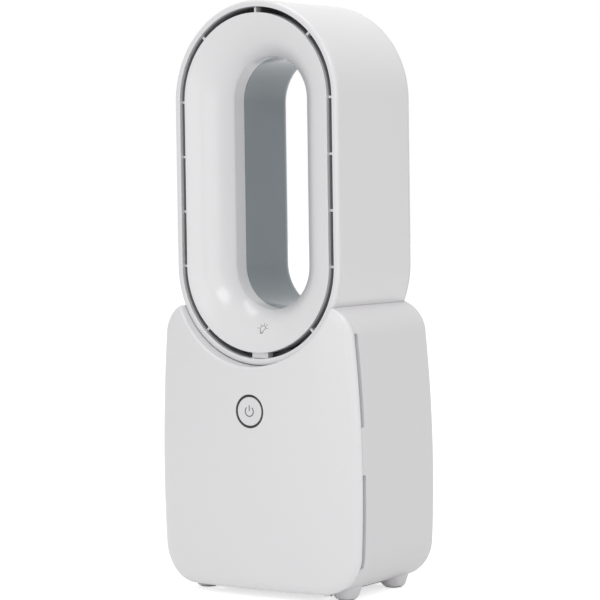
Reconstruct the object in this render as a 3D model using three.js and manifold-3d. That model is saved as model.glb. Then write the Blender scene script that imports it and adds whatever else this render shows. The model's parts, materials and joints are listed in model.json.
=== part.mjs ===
// Desktop bladeless fan: an upright stadium-shaped loop that blows air from a thin slot round its
// front edge, sunk into the top of a box-shaped body that holds the motor, impeller and controls.
// Millimetres, +Z up, the front faces -Y, +X is to the right of someone looking at the front.
// Inside the file y is measured from the plane of the air slot; the group at the end moves the
// whole fan so that its origin is on the ground under the middle of its bounding box.
import * as THREE from 'three';
import { mergeVertices } from 'three/addons/utils/BufferGeometryUtils.js';
import Module from 'manifold-3d';

const wasm = await Module();
wasm.setup();

// ---------------------------------------------------------------- driving dimensions
// Loop (the head)
const loopCentreZ = 278; // height of the middle of the loop
const loopStraight = 111.4; // straight length between the two half circles
const loopRadius = 66.5; // outside of the shell
const loopDepth = 88; // slot plane to rear face
const loopWall = 2.2;
const rimProud = 1.2; // how far the rim stands ahead of the slot plane
const rimWidth = 4.9;
const slotWidth = 3.4;
const slotDepth = 9; // length of the nozzle walls
const bellRadius = 28.6; // quarter-round dish from the slot into the loop
const bellWall = 2;
const ribThickness = 1.3;
const ribDepth = 7.5;
const ribsPerStraight = 4;
const slotTabWidth = 12.5;
const linerWall = 2;
const linerFlareRadius = 11.6; // rear rounding of the loop's inner wall
const linerDraft = 0.7; // growth in radius from front to rear
const rearCoverThickness = 1.8;
const rearCoverSpigot = 5;

const slotOuterRadius = loopRadius - rimWidth;
const slotInnerRadius = slotOuterRadius - slotWidth;
const lowerArcZ = loopCentreZ - loopStraight / 2;
const upperArcZ = loopCentreZ + loopStraight / 2;
const loopBottomZ = lowerArcZ - loopRadius;

// Body
const bodyTopZ = 197.2;
const bodyBottomZ = 5.7;
const bodyRearY = 93.5; // slot plane to the back of the body
const sideHalfWidthTop = 76.8;
const sideHalfWidthBottom = 80.3;
const sideBulge = 2.7;
const topCornerRadius = 23.2;
const bottomCornerRadius = 28;
const rearEdgeRadius = 6;
const bodyWall = 2.5;
const seamY = 0.5; // front edge of the housing
const saddleDepth = 3.8; // height of the ribs below the loop's lowest point
const ventWidth = 3.7; // side slots, along y
const upperVentZ = [117, 178.8];
const lowerVentZ = [23.8, 86];

// Front panel
const panelCrownY = -12.3; // furthest forward, in the middle
const panelEdgeY = -1.7; // where the curved face meets the sides
const panelEdgeRadius = 2.4;
const panelWall = 2.5;
const notchChamferSlope = 0.45;
const lipDepth = 9; // locating lip inside the housing
const lipWall = 1.8;

// Button
const buttonZ = 125.8;
const bezelRadius = 10.95;
const bezelWidth = 1;
const buttonRadius = 9.7;
const buttonTravel = 1;
const switchSize = 7;
const buttonBoard = { width: 36, height: 30, thickness: 1.6, frontY: 0.6 };
const buttonBossRadius = 2.6;

// Fan unit, on a vertical axis between the button board and the back
const fanClearance = 2.8;
const rearClearance = 6.5;
const boardBackY = buttonBoard.frontY + buttonBoard.thickness;
const flangeRadius = (bodyRearY - rearClearance - boardBackY - fanClearance) / 2;
const axisY = boardBackY + fanClearance + flangeRadius;
const bracketZ = [40, 43];
const pillarRadius = 4;
const pillarAt = [sideHalfWidthBottom - 36.3, 32]; // half spacing across and along
const bracketHalf = pillarAt.map((half) => half + 10);
const damperHeight = 2.5;
const inletStep = 8.5; // from the shroud's inside to the inlet's throat
const inletFlange = 2;
const damperWidth = 6;
const shroudTopZ = 128;
const shroudWall = 2;
const flangeLip = 0.5;
const shroudRadius = flangeRadius - flangeLip - shroudWall; // inside, above the impeller
const inletThroat = shroudRadius - inletStep;
const impellerZ = [53, 80];
const impellerTipGap = 0.7;
const impellerHub = [11, 26]; // radius at the bottom and the top
const bladeCount = 9;
const bladeThickness = 1.3;
const bladeWrap = 62; // degrees from the bottom to the top of a blade
const podZ = [83, 118];
const podRadius = 25;
const podWall = 2;
const vaneCount = 8;
const motorRadius = 18;
const motorZ = [85.3, 112];
const magnetRadius = 8;
const coilLength = 5.5; // of the stator's windings, along the radius
const toothCount = 6;
const shaftRadius = 1.5;
const bearingRadius = 4;
const bearingHeight = 3;
const ductHalf = [33, 30];
const ductWall = 2;
const ductTopZ = loopBottomZ + 10.2; // the duct reaches up into the loop

// Rear grille and inlet
const grilleHalf = [46, 46];
const grilleCentreZ = 88;
const grilleRows = 13;
const grillePitch = 6.4;
const grilleSlot = [36, 3];
const jackZ = 22;
const jackRadius = 5.6;
const jackBore = 3.2;

// Base
const footAt = [sideHalfWidthBottom - 23.2, 29.5]; // half spacing across and along
const footCentreY = 45.6;
const footTopRadius = 10;
const footBottomRadius = 6.6;
const padThickness = 1;
const padRadius = 5.6;
const baseHalf = pillarAt.map((half) => half + 6.5);
const baseThickness = 2.2;
const screwRadius = 1.5;

// Control board on the left wall
const boardSize = { y: 60, z: 50, thickness: 1.6 };
const boardStandoff = 19; // from the housing's wall to the board
const boardCentreZ = 85;

// Lamp behind the grey liner
const ledStripY = [36, 44];
const ledStripThickness = 1;
const ledCount = 10;
const touchRadiusOnBell = 41.9; // distance of the lamp symbol from the lower arc's centre
const touchPadRadius = 6;

// Fits
const gap = 0.3; // between pieces that seat on each other
const shaftGap = 0.15;

// Fineness of curves
const arcSteps = 14; // per half circle of the loop
const roundSteps = 20; // per full turn of the fan unit's parts
const smallSteps = 14; // per full turn of the motor's inner parts
const buttonSteps = 28;
const footSteps = 16;

// ---------------------------------------------------------------- geometry helpers
const radians = THREE.MathUtils.degToRad;

function toManifold(geometry) {
  const bare = geometry.index ? geometry.toNonIndexed() : geometry.clone();
  bare.deleteAttribute('normal');
  bare.deleteAttribute('uv');
  const merged = mergeVertices(bare, 1e-4);
  return new wasm.Manifold(new wasm.Mesh({
    numProp: 3,
    vertProperties: new Float32Array(merged.attributes.position.array),
    triVerts: new Uint32Array(merged.index.array),
  }));
}

function fromManifold(solid) {
  const mesh = solid.getMesh();
  const geometry = new THREE.BufferGeometry();
  geometry.setAttribute('position', new THREE.BufferAttribute(new Float32Array(mesh.vertProperties), 3));
  geometry.setIndex(new THREE.BufferAttribute(new Uint32Array(mesh.triVerts), 1));
  const faceted = geometry.toNonIndexed();
  faceted.computeVertexNormals();
  return faceted;
}

function join(...geometries) {
  return fromManifold(geometries.map(toManifold).reduce((a, b) => a.add(b)));
}

function cut(geometry, ...tools) {
  return fromManifold(tools.map(toManifold).reduce((a, b) => a.subtract(b), toManifold(geometry)));
}

function intersect(a, b) {
  return fromManifold(toManifold(a).intersect(toManifold(b)));
}

// A skin through rings of points (all the same length); the ends are closed by fans, or the last
// ring is joined to the first. Rings run anticlockwise seen from the start of the skin.
function skin(rings, closedLoop = false) {
  const positions = [];
  const triangle = (a, b, c) => positions.push(...a.toArray(), ...b.toArray(), ...c.toArray());
  const count = rings[0].length;
  const spans = closedLoop ? rings.length : rings.length - 1;
  for (let i = 0; i < spans; i += 1) {
    const near = rings[i];
    const far = rings[(i + 1) % rings.length];
    for (let j = 0; j < count; j += 1) {
      const k = (j + 1) % count;
      triangle(near[j], near[k], far[k]);
      triangle(near[j], far[k], far[j]);
    }
  }
  if (!closedLoop) {
    const middle = (ring) => ring.reduce((sum, p) => sum.add(p), new THREE.Vector3()).divideScalar(count);
    const first = rings[0];
    const last = rings[rings.length - 1];
    const start = middle(first);
    const end = middle(last);
    for (let j = 0; j < count; j += 1) {
      const k = (j + 1) % count;
      triangle(start, first[k], first[j]);
      triangle(end, last[j], last[k]);
    }
  }
  const geometry = new THREE.BufferGeometry();
  geometry.setAttribute('position', new THREE.Float32BufferAttribute(positions, 3));
  return outward(geometry);
}

// Turns a closed geometry right side out, by the sign of its volume.
function outward(geometry) {
  const p = geometry.attributes.position;
  let volume = 0;
  const [a, b, c] = [new THREE.Vector3(), new THREE.Vector3(), new THREE.Vector3()];
  for (let i = 0; i < p.count; i += 3) {
    a.fromBufferAttribute(p, i);
    b.fromBufferAttribute(p, i + 1);
    c.fromBufferAttribute(p, i + 2);
    volume += a.dot(b.cross(c));
  }
  if (volume < 0) {
    for (let i = 0; i < p.count; i += 3) {
      b.fromBufferAttribute(p, i + 1);
      c.fromBufferAttribute(p, i + 2);
      p.setXYZ(i + 1, c.x, c.y, c.z);
      p.setXYZ(i + 2, b.x, b.y, b.z);
    }
  }
  geometry.computeVertexNormals();
  return geometry;
}

// Points round the stadium at distance r from the line between its two centres.
function stadium(r, y, centreZ = loopCentreZ) {
  const points = [];
  for (const end of [1, -1]) {
    for (let i = 0; i <= arcSteps; i += 1) {
      const angle = (i / arcSteps) * Math.PI;
      const x = end * r * Math.cos(angle);
      const z = centreZ + end * (loopStraight / 2 + r * Math.sin(angle));
      points.push(new THREE.Vector3(x, y, z));
    }
  }
  return points;
}

// A closed profile of [radius, y] pairs carried round the stadium.
function stadiumRing(profile) {
  return skin(profile.map(([r, y]) => stadium(r, y)), true);
}

// A solid stadium block through [radius, y] pairs.
function stadiumBlock(sections) {
  return skin(sections.map(([r, y]) => stadium(r, y)));
}

// A closed profile of [radius, z] pairs turned about the fan's vertical axis.
function turned(profile, steps = roundSteps, at = [0, axisY]) {
  const points = profile.map(([r, z]) => new THREE.Vector2(r, z));
  const closes = profile[0][0] > 0 || profile[profile.length - 1][0] > 0;
  if (closes) points.push(points[0].clone());
  const geometry = new THREE.LatheGeometry(points, steps);
  geometry.rotateX(Math.PI / 2);
  geometry.translate(at[0], at[1], 0);
  return outward(weld(geometry));
}

// Drops the zero-area triangles that a lathe leaves at its poles.
function weld(geometry) {
  const bare = geometry.clone();
  bare.deleteAttribute('normal');
  bare.deleteAttribute('uv');
  const merged = mergeVertices(bare, 1e-4);
  const index = [];
  for (let i = 0; i < merged.index.count; i += 3) {
    const [a, b, c] = [0, 1, 2].map((k) => merged.index.getX(i + k));
    if (a !== b && b !== c && c !== a) index.push(a, b, c);
  }
  merged.setIndex(index);
  return merged.toNonIndexed();
}

function rod(radius, from, to, steps = 14) {
  const start = new THREE.Vector3(...from);
  const along = new THREE.Vector3(...to).sub(start);
  const geometry = new THREE.CylinderGeometry(radius, radius, along.length(), steps);
  geometry.translate(0, along.length() / 2, 0);
  geometry.applyQuaternion(new THREE.Quaternion().setFromUnitVectors(new THREE.Vector3(0, 1, 0),
    along.clone().normalize()));
  geometry.translate(start.x, start.y, start.z);
  return geometry;
}

function block(low, high) {
  const size = high.map((v, i) => v - low[i]);
  const geometry = new THREE.BoxGeometry(...size);
  geometry.translate(...low.map((v, i) => v + size[i] / 2));
  return geometry;
}

// The corners of a rectangle: low low, high low, low high, high high.
function fourCorners([a, b], [halfA, halfB]) {
  return [[-1, -1], [1, -1], [-1, 1], [1, 1]].map(([sa, sb]) => [a + sa * halfA, b + sb * halfB]);
}

function roundedRectangle(halfWidth, halfHeight, radius) {
  const shape = new THREE.Shape();
  shape.moveTo(halfWidth, -halfHeight + radius);
  shape.absarc(halfWidth - radius, halfHeight - radius, radius, 0, Math.PI / 2);
  shape.absarc(-halfWidth + radius, halfHeight - radius, radius, Math.PI / 2, Math.PI);
  shape.absarc(-halfWidth + radius, -halfHeight + radius, radius, Math.PI, 1.5 * Math.PI);
  shape.absarc(halfWidth - radius, -halfHeight + radius, radius, 1.5 * Math.PI, 2 * Math.PI);
  return shape;
}

// A shape in x and z, run from y0 to y1.
function extrudedAlongY(shape, y0, y1, curveSegments = 6) {
  const geometry = new THREE.ExtrudeGeometry(shape, { depth: y1 - y0, bevelEnabled: false, curveSegments });
  geometry.rotateX(Math.PI / 2);
  geometry.translate(0, y1, 0);
  return geometry;
}

// A shape in x and y, run from z0 to z1.
function extrudedAlongZ(shape, z0, z1, curveSegments = 6) {
  const geometry = new THREE.ExtrudeGeometry(shape, { depth: z1 - z0, bevelEnabled: false, curveSegments });
  geometry.translate(0, 0, z0);
  return geometry;
}

// ---------------------------------------------------------------- outline of the body
const cornerSteps = 5;
const sideSteps = 4;

function sideHalfWidth(z) {
  const low = bodyBottomZ + bottomCornerRadius;
  const high = bodyTopZ - topCornerRadius;
  const t = (z - low) / (high - low);
  return THREE.MathUtils.lerp(sideHalfWidthBottom, sideHalfWidthTop, t) + 4 * sideBulge * t * (1 - t);
}

// The right half of the front view from top to bottom, drawn in by inset.
function halfOutline(inset) {
  const points = [];
  const high = bodyTopZ - topCornerRadius;
  const low = bodyBottomZ + bottomCornerRadius;
  const corner = (centreZ, radius, from, to) => {
    for (let i = 0; i <= cornerSteps; i += 1) {
      const angle = radians(THREE.MathUtils.lerp(from, to, i / cornerSteps));
      const x = sideHalfWidth(centreZ) - radius + (radius - inset) * Math.cos(angle);
      points.push([x, centreZ + (radius - inset) * Math.sin(angle)]);
    }
  };
  corner(high, topCornerRadius, 90, 0);
  for (let i = 1; i < sideSteps; i += 1) {
    const z = THREE.MathUtils.lerp(high, low, i / sideSteps);
    points.push([sideHalfWidth(z) - inset, z]);
  }
  corner(low, bottomCornerRadius, 0, -90);
  const straight = sideHalfWidth(low) - bottomCornerRadius;
  for (const share of [2 / 3, 1 / 3]) points.push([straight * share, bodyBottomZ + inset]);
  return points;
}

function bodyOutline(inset, scale = 1) {
  const right = halfOutline(inset);
  const left = right.map(([x, z]) => [-x, z]).reverse();
  const middleZ = (bodyTopZ + bodyBottomZ) / 2;
  return [...right, ...left].map(([x, z]) => [x * scale, middleZ + (z - middleZ) * scale]);
}

function outlineAt(y, inset, scale = 1) {
  const depth = typeof y === 'function' ? y : () => y;
  return bodyOutline(inset, scale).map(([x, z]) => new THREE.Vector3(x, depth(x), z));
}

function outlineBlock(inset, y0, y1) {
  return skin([outlineAt(y0, inset), outlineAt(y1, inset)]);
}

// ---------------------------------------------------------------- materials
function finish(color, roughness, metalness = 0) {
  return new THREE.MeshStandardMaterial({ color, roughness, metalness });
}

const white = () => finish(0xe9e9eb, 0.35);
const greyWall = () => finish(0x77838a, 0.22);
const darkPlastic = () => finish(0x2a2d2f, 0.45);
const blackRubber = () => finish(0x3a3a3c, 0.85);
const boardGreen = () => finish(0x2c5a3c, 0.6);
const steel = () => finish(0xb9bcc0, 0.3, 0.9);
const brass = () => finish(0xb99b5b, 0.4, 0.9);
const greyPlastic = () => finish(0x9fa3a6, 0.5);

const fan = new THREE.Group();

function add(name, geometry, material, parent = fan) {
  const mesh = new THREE.Mesh(geometry, material);
  mesh.name = name;
  parent.add(mesh);
  return mesh;
}

// ---------------------------------------------------------------- loop
const rearCoverY = loopDepth - rearCoverThickness;
const linerFrontY = bellRadius + gap;
const linerInner = slotInnerRadius - bellRadius;

function ductOutline(clearance) {
  const shape = roundedRectangle(ductHalf[0] + clearance, ductHalf[1] + clearance, 12 + clearance);
  return shape;
}

function atAxis(geometry) {
  geometry.translate(0, axisY, 0);
  return geometry;
}

function headShell() {
  const inner = loopRadius - loopWall;
  const rimRound = 1.4;
  const ring = stadiumRing([
    [loopRadius, rearCoverY - gap],
    [loopRadius, -rimProud + rimRound],
    [loopRadius - 0.4, -rimProud + 0.4],
    [loopRadius - rimRound, -rimProud],
    [slotOuterRadius + 0.5, -rimProud],
    [slotOuterRadius, -rimProud + 0.5],
    [slotOuterRadius, slotDepth],
    [inner, slotDepth + 3],
    [inner, rearCoverY - gap],
  ]);
  const shape = ductOutline(gap + 0.1);
  const inlet = atAxis(extrudedAlongZ(shape, loopBottomZ - loopRadius / 3, lowerArcZ - loopRadius / 2, 4));
  return cut(ring, inlet);
}

// The bell's points at its own radius less inset, from the slot edge round into the loop.
function bellArc(inset, steps, fromRadius) {
  const points = [];
  const r = bellRadius - inset;
  const start = Math.asin(Math.max(0, (slotInnerRadius - fromRadius) / r));
  for (let i = 0; i <= steps; i += 1) {
    const angle = THREE.MathUtils.lerp(start, Math.PI / 2, i / steps);
    points.push([slotInnerRadius - r * Math.sin(angle), bellRadius - r * Math.cos(angle)]);
  }
  return points;
}

// Where the ribs cross the slot: [x, z, direction x, direction z] at the slot's middle.
function ribStations() {
  const stations = [];
  for (const degrees of [45, 90, 135, -45, -135]) {
    const angle = radians(degrees);
    const z = degrees > 0 ? upperArcZ : lowerArcZ;
    stations.push([0, z, Math.cos(angle), Math.sin(angle)]);
  }
  for (let i = 0; i < ribsPerStraight; i += 1) {
    const z = lowerArcZ + (loopStraight * i) / (ribsPerStraight - 1);
    stations.push([0, z, 1, 0]);
    stations.push([0, z, -1, 0]);
  }
  return stations;
}

function slotRib([x, z, dx, dz], width) {
  const from = slotInnerRadius - 1;
  const facetRadius = slotOuterRadius * Math.cos(Math.PI / (2 * arcSteps));
  const to = facetRadius - gap - width ** 2 / (8 * slotOuterRadius);
  const rib = block([-width / 2, 0.4, from], [width / 2, 0.4 + ribDepth, to]);
  rib.rotateY(Math.atan2(dx, dz));
  rib.translate(x, 0, z);
  return rib;
}

function headFunnel() {
  const edge = slotInnerRadius - 1.8;
  const dish = stadiumRing([
    ...bellArc(0, 6, slotInnerRadius),
    ...bellArc(bellWall, 4, edge).reverse(),
    [edge, slotDepth],
    [slotInnerRadius, slotDepth],
  ]);
  const ribs = ribStations().map((station) => slotRib(station, ribThickness));
  const tab = slotRib([0, lowerArcZ, 0, -1], slotTabWidth);
  return join(dish, ...ribs, tab);
}

// Inner wall of the loop behind the bell, with its rear flare; offset is measured into the wall.
function linerCurve(offset, steps) {
  const rear = linerInner + linerDraft;
  const flareY = loopDepth - linerFlareRadius;
  const points = [[linerInner + offset, linerFrontY], [rear + offset, flareY]];
  for (let i = 1; i <= steps; i += 1) {
    const angle = (i / steps) * (Math.PI / 2);
    points.push([
      rear + linerFlareRadius - (linerFlareRadius - offset) * Math.cos(angle),
      flareY + (linerFlareRadius - offset) * Math.sin(angle),
    ]);
  }
  return points;
}

function loopLiner() {
  return stadiumRing([...linerCurve(0, 5), ...linerCurve(linerWall, 3).reverse()]);
}

function headRearCover() {
  const inside = linerInner + linerDraft + linerFlareRadius + gap;
  const spigotOuter = loopRadius - loopWall - gap;
  return stadiumRing([
    [loopRadius, rearCoverY],
    [loopRadius, loopDepth - 0.8],
    [loopRadius - 0.8, loopDepth],
    [inside, loopDepth],
    [inside, rearCoverY],
    [spigotOuter - 1.6, rearCoverY],
    [spigotOuter - 1.6, rearCoverY - rearCoverSpigot],
    [spigotOuter, rearCoverY - rearCoverSpigot],
    [spigotOuter, rearCoverY],
  ]);
}

function ledStrip() {
  const share = (ledStripY[1] - linerFrontY) / (loopDepth - linerFlareRadius - linerFrontY);
  const inner = linerInner + linerDraft * share + linerWall + gap;
  const outer = inner + ledStripThickness;
  const [front, back] = ledStripY;
  const band = stadiumRing([[inner, front], [inner, back], [outer, back], [outer, front]]);
  const middleY = (front + back) / 2;
  const chips = [];
  for (const side of [-1, 1]) {
    for (let i = 0; i < ledCount / 2; i += 1) {
      const z = lowerArcZ + (loopStraight * (i + 0.5)) / (ledCount / 2);
      const near = outer - 0.3;
      const low = side > 0 ? near : -near - 1;
      chips.push(block([low, middleY - 1.5, z - 1.5], [low + 1, middleY + 1.5, z + 1.5]));
    }
  }
  return join(band, ...chips);
}

function lampTouchPad() {
  const angle = Math.asin((slotInnerRadius - touchRadiusOnBell) / bellRadius);
  const seat = bellWall + touchPadRadius ** 2 / (2 * (bellRadius - bellWall)) + 2 * gap;
  const r = (depth) => slotInnerRadius - (bellRadius - depth) * Math.sin(angle);
  const y = (depth) => bellRadius - (bellRadius - depth) * Math.cos(angle);
  const near = [0, y(seat), lowerArcZ - r(seat)];
  const far = [0, y(seat + 1), lowerArcZ - r(seat + 1)];
  return rod(touchPadRadius, near, far);
}

add('head_shell', headShell(), white());
add('head_funnel', headFunnel(), white());
add('loop_liner', loopLiner(), greyWall());
add('head_rear_cover', headRearCover(), white());
add('led_strip', ledStrip(), finish(0xf2efe2, 0.5));
add('lamp_touch_pad', lampTouchPad(), brass());

// ---------------------------------------------------------------- body housing
const floorZ = bodyBottomZ + bodyWall;
const pillarPlaces = fourCorners([0, axisY], pillarAt);

function ventBlock(side, [low, high]) {
  const outer = sideHalfWidthBottom + sideBulge + 5;
  const inner = sideHalfWidthTop - bodyWall - 12;
  const xs = side > 0 ? [inner, outer] : [-outer, -inner];
  return block([xs[0], seamY - 5, low], [xs[1], seamY + ventWidth, high]);
}

const boardX = -(sideHalfWidth(boardCentreZ) - bodyWall - boardStandoff);

function boardBossPlaces() {
  return fourCorners([axisY, boardCentreZ], [boardSize.y / 2 - 5, boardSize.z / 2 - 5]);
}

// A moulded rib across the housing whose top follows the loop, so that the loop rests in it.
function saddleRib(y, thickness) {
  const low = loopBottomZ - saddleDepth;
  const slab = block([-sideHalfWidthBottom, y, low], [sideHalfWidthBottom, y + thickness, bodyTopZ]);
  return intersect(slab, outlineBlock(bodyWall / 2, y - 1, y + thickness + 1));
}

function bodyHousing() {
  const innerRadius = rearEdgeRadius - bodyWall;
  const rings = [];
  rings.push(outlineAt(bodyRearY, rearEdgeRadius, 0.5));
  for (let i = 0; i <= 3; i += 1) {
    const angle = radians(90 - i * 30);
    rings.push(outlineAt(
      bodyRearY - rearEdgeRadius + rearEdgeRadius * Math.sin(angle),
      rearEdgeRadius - rearEdgeRadius * Math.cos(angle),
    ));
  }
  rings.push(outlineAt(seamY, 0));
  rings.push(outlineAt(seamY, bodyWall));
  for (let i = 0; i <= 2; i += 1) {
    const angle = radians(i * 45);
    rings.push(outlineAt(
      bodyRearY - rearEdgeRadius + innerRadius * Math.sin(angle),
      rearEdgeRadius - innerRadius * Math.cos(angle),
    ));
  }
  rings.push(outlineAt(bodyRearY - bodyWall, rearEdgeRadius, 0.5));
  const shell = skin(rings);
  const bosses = boardBossPlaces().map(([y, z]) => rod(3, [-sideHalfWidth(z) + bodyWall / 2, y, z],
    [boardX, y, z], 12));
  const ribs = [seamY + lipDepth + 1, 80.5].map((y) => saddleRib(y, bodyWall));
  const solid = join(shell, ...bosses, ...ribs);
  const saddle = stadiumBlock([[loopRadius + gap, seamY - 5], [loopRadius + gap, loopDepth + gap]]);
  const vents = [-1, 1].flatMap((side) => [upperVentZ, lowerVentZ].map((span) => ventBlock(side, span)));
  const grilleShape = roundedRectangle(grilleHalf[0], grilleHalf[1], 12);
  const grille = extrudedAlongY(grilleShape, bodyRearY - 10, bodyRearY + 5, 3);
  grille.translate(0, 0, grilleCentreZ);
  const jack = rod(jackRadius + gap, [0, bodyRearY - 10, jackZ], [0, bodyRearY + 5, jackZ]);
  const screwHoles = pillarPlaces.map(([x, y]) => rod(screwRadius + gap, [x, y, 0], [x, y, floorZ + 5], 12));
  return cut(solid, saddle, grille, jack, ...vents, ...screwHoles);
}

function rearGrille() {
  const plate = extrudedAlongY(
    roundedRectangle(grilleHalf[0] - gap, grilleHalf[1] - gap, 12 - gap),
    bodyRearY - bodyWall - 2,
    bodyRearY,
    3,
  );
  const flange = extrudedAlongY(
    roundedRectangle(grilleHalf[0] + 2.5, grilleHalf[1] + 2.5, 14.5),
    bodyRearY - bodyWall - gap - 1.7,
    bodyRearY - bodyWall - gap,
    3,
  );
  const pocket = extrudedAlongY(
    roundedRectangle(grilleHalf[0] - 3, grilleHalf[1] - 3, 9),
    bodyRearY - bodyWall - 10,
    bodyRearY - 2,
    3,
  );
  const slots = [];
  for (let row = 0; row < grilleRows; row += 1) {
    const z = (row - (grilleRows - 1) / 2) * grillePitch;
    for (const side of [-1, 1]) {
      const x = side * (grilleSlot[0] / 2 + 2.5);
      const [halfX, halfZ] = grilleSlot.map((size) => size / 2);
      slots.push(block([x - halfX, bodyRearY - 5, z - halfZ], [x + halfX, bodyRearY + 5, z + halfZ]));
    }
  }
  const grille = cut(join(plate, flange), pocket, ...slots);
  grille.translate(0, 0, grilleCentreZ);
  return grille;
}

add('body_housing', bodyHousing(), white());
add('rear_grille', rearGrille(), white());

// ---------------------------------------------------------------- front panel
const panelHalfWidth = sideHalfWidthBottom + sideBulge;
const panelFaceY = (x) => panelEdgeY + (panelCrownY - panelEdgeY) * (1 - (x / panelHalfWidth) ** 2);
const panelInsideY = panelCrownY + panelWall;
const bezelFlangeRadius = bezelRadius + 2;
const bezelBackY = panelInsideY - 0.2;
const buttonBossPlaces = fourCorners([0, buttonZ], [buttonBoard.width / 2 - 4, buttonBoard.height / 2 - 4]);

// The round notch for the loop, opening towards the front; wall is added to its radius.
function notchBlock(wall) {
  const radius = loopRadius + gap + wall;
  const narrowY = -rimProud - 0.5;
  const wideY = panelCrownY - 3;
  return stadiumBlock([
    [radius, seamY + lipDepth + 5],
    [radius, narrowY],
    [radius + notchChamferSlope * (narrowY - wideY), wideY],
  ]);
}

function frontPanel() {
  const rearY = seamY - gap;
  const lipInset = bodyWall + gap;
  const outside = [];
  for (const scale of [0.4, 0.75]) outside.push(outlineAt(panelFaceY, panelEdgeRadius, scale));
  for (const degrees of [90, 60, 30, 0]) {
    const angle = radians(degrees);
    const drop = panelEdgeRadius * (1 - Math.sin(angle));
    const inset = panelEdgeRadius * (1 - Math.cos(angle));
    outside.push(outlineAt((x) => Math.min(panelFaceY(x) + drop, rearY - 0.2), inset));
  }
  outside.push(outlineAt(rearY, 0));
  outside.push(outlineAt(rearY, lipInset));
  outside.push(outlineAt(rearY + lipDepth, lipInset));
  const cavityInset = lipInset + lipWall;
  const inside = [outlineAt(rearY + lipDepth + 1, cavityInset)];
  for (const scale of [1, 0.75, 0.4]) {
    inside.push(outlineAt((x) => panelFaceY(x) + panelWall, cavityInset, scale));
  }
  const cavity = cut(skin(inside), notchBlock(panelWall));
  const shell = cut(skin(outside), cavity);
  const bosses = buttonBossPlaces.map(([x, z]) => rod(buttonBossRadius, [x, panelFaceY(x) + 1, z],
    [x, buttonBoard.frontY, z], 12));
  const back = [0, panelInsideY + 5, buttonZ];
  const buttonHole = rod(bezelRadius + gap, [0, panelCrownY - 5, buttonZ], back, buttonSteps);
  const flangeSeat = rod(bezelFlangeRadius + gap, [0, bezelBackY - gap, buttonZ], back, buttonSteps);
  return cut(join(shell, ...bosses), notchBlock(0), buttonHole, flangeSeat);
}

add('front_panel', frontPanel(), white());

// ---------------------------------------------------------------- button and its switch
// A profile of [radius, y] pairs turned about the button's axis, which runs along y.
function turnedAboutButton(profile, steps = buttonSteps) {
  const points = profile.map(([r, y]) => new THREE.Vector2(r, y));
  if (profile[0][0] > 0) points.push(points[0].clone());
  const geometry = new THREE.LatheGeometry(points, steps);
  geometry.translate(0, 0, buttonZ);
  return outward(weld(geometry));
}

const bezelFlangeBackY = bezelBackY + 1.2;
const capHookY = bezelFlangeBackY + gap;
const stemEndY = capHookY + 2.8;
const switchFrontY = buttonBoard.frontY - gap - 3.5;

function buttonBezel() {
  return turnedAboutButton([
    [bezelRadius - bezelWidth, panelCrownY + 0.25],
    [bezelRadius, panelCrownY + 0.25],
    [bezelRadius, bezelBackY],
    [bezelFlangeRadius, bezelBackY],
    [bezelFlangeRadius, bezelFlangeBackY],
    [bezelRadius - bezelWidth, bezelFlangeBackY],
  ]);
}

function buttonCap() {
  return turnedAboutButton([
    [0, panelCrownY],
    [buttonRadius - 0.4, panelCrownY + 0.05],
    [buttonRadius, panelCrownY + 0.45],
    [buttonRadius, capHookY],
    [buttonRadius + 0.9, capHookY],
    [buttonRadius + 0.9, capHookY + 1],
    [buttonRadius - 1.4, capHookY + 1],
    [buttonRadius - 1.4, panelCrownY + 2],
    [2.6, panelCrownY + 2],
    [2.6, stemEndY],
    [0, stemEndY],
  ]);
}

function switchPlunger() {
  const [front, back] = [stemEndY + gap, switchFrontY + 1.2];
  return turnedAboutButton([[0, front], [1.7, front], [1.7, back], [0, back]], smallSteps);
}

function switchBody() {
  const half = switchSize / 2;
  const backY = buttonBoard.frontY - gap;
  const body = block([-half, switchFrontY, buttonZ - half], [half, backY, buttonZ + half]);
  const bore = rod(2, [0, switchFrontY - 2, buttonZ], [0, switchFrontY + 1.2 + buttonTravel + gap, buttonZ]);
  return cut(body, bore);
}

function buttonBoardPiece() {
  const { width, height, thickness, frontY } = buttonBoard;
  const plate = extrudedAlongY(roundedRectangle(width / 2, height / 2, 2), frontY, frontY + thickness, 3);
  plate.translate(0, 0, buttonZ);
  return plate;
}

add('button_bezel', buttonBezel(), darkPlastic());
add('button_cap', buttonCap(), white());
add('switch_plunger', switchPlunger(), greyPlastic());
add('switch_body', switchBody(), darkPlastic());
add('button_board', buttonBoardPiece(), boardGreen());

// ---------------------------------------------------------------- fan unit
const damperTopZ = bracketZ[1] + damperHeight;
const shroudBottomZ = damperTopZ + inletFlange;
const shroudAt = (z) => {
  const t = THREE.MathUtils.clamp((z - impellerZ[0]) / (impellerZ[1] - impellerZ[0]), 0, 1);
  return THREE.MathUtils.lerp(inletThroat + 1, shroudRadius, Math.sin((t * Math.PI) / 2));
};

function fanBracket() {
  const shape = roundedRectangle(bracketHalf[0], bracketHalf[1], 10);
  const plate = atAxis(extrudedAlongZ(shape, bracketZ[0], bracketZ[1], 4));
  const pillars = pillarPlaces.map(([x, y]) => rod(pillarRadius, [x, y, floorZ], [x, y, bracketZ[0] + 1]));
  const hole = rod(flangeRadius - 4, [0, axisY, bracketZ[0] - 5], [0, axisY, bracketZ[1] + 5], roundSteps);
  const boreRadius = screwRadius + gap;
  const bores = pillarPlaces.map(([x, y]) => rod(boreRadius, [x, y, floorZ - 1], [x, y, floorZ + 12], 12));
  return cut(join(plate, ...pillars), hole, ...bores);
}

function damperRing() {
  return turned([
    [flangeRadius - damperWidth, bracketZ[1]],
    [flangeRadius, bracketZ[1]],
    [flangeRadius, damperTopZ],
    [flangeRadius - damperWidth, damperTopZ],
  ]);
}

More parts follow.
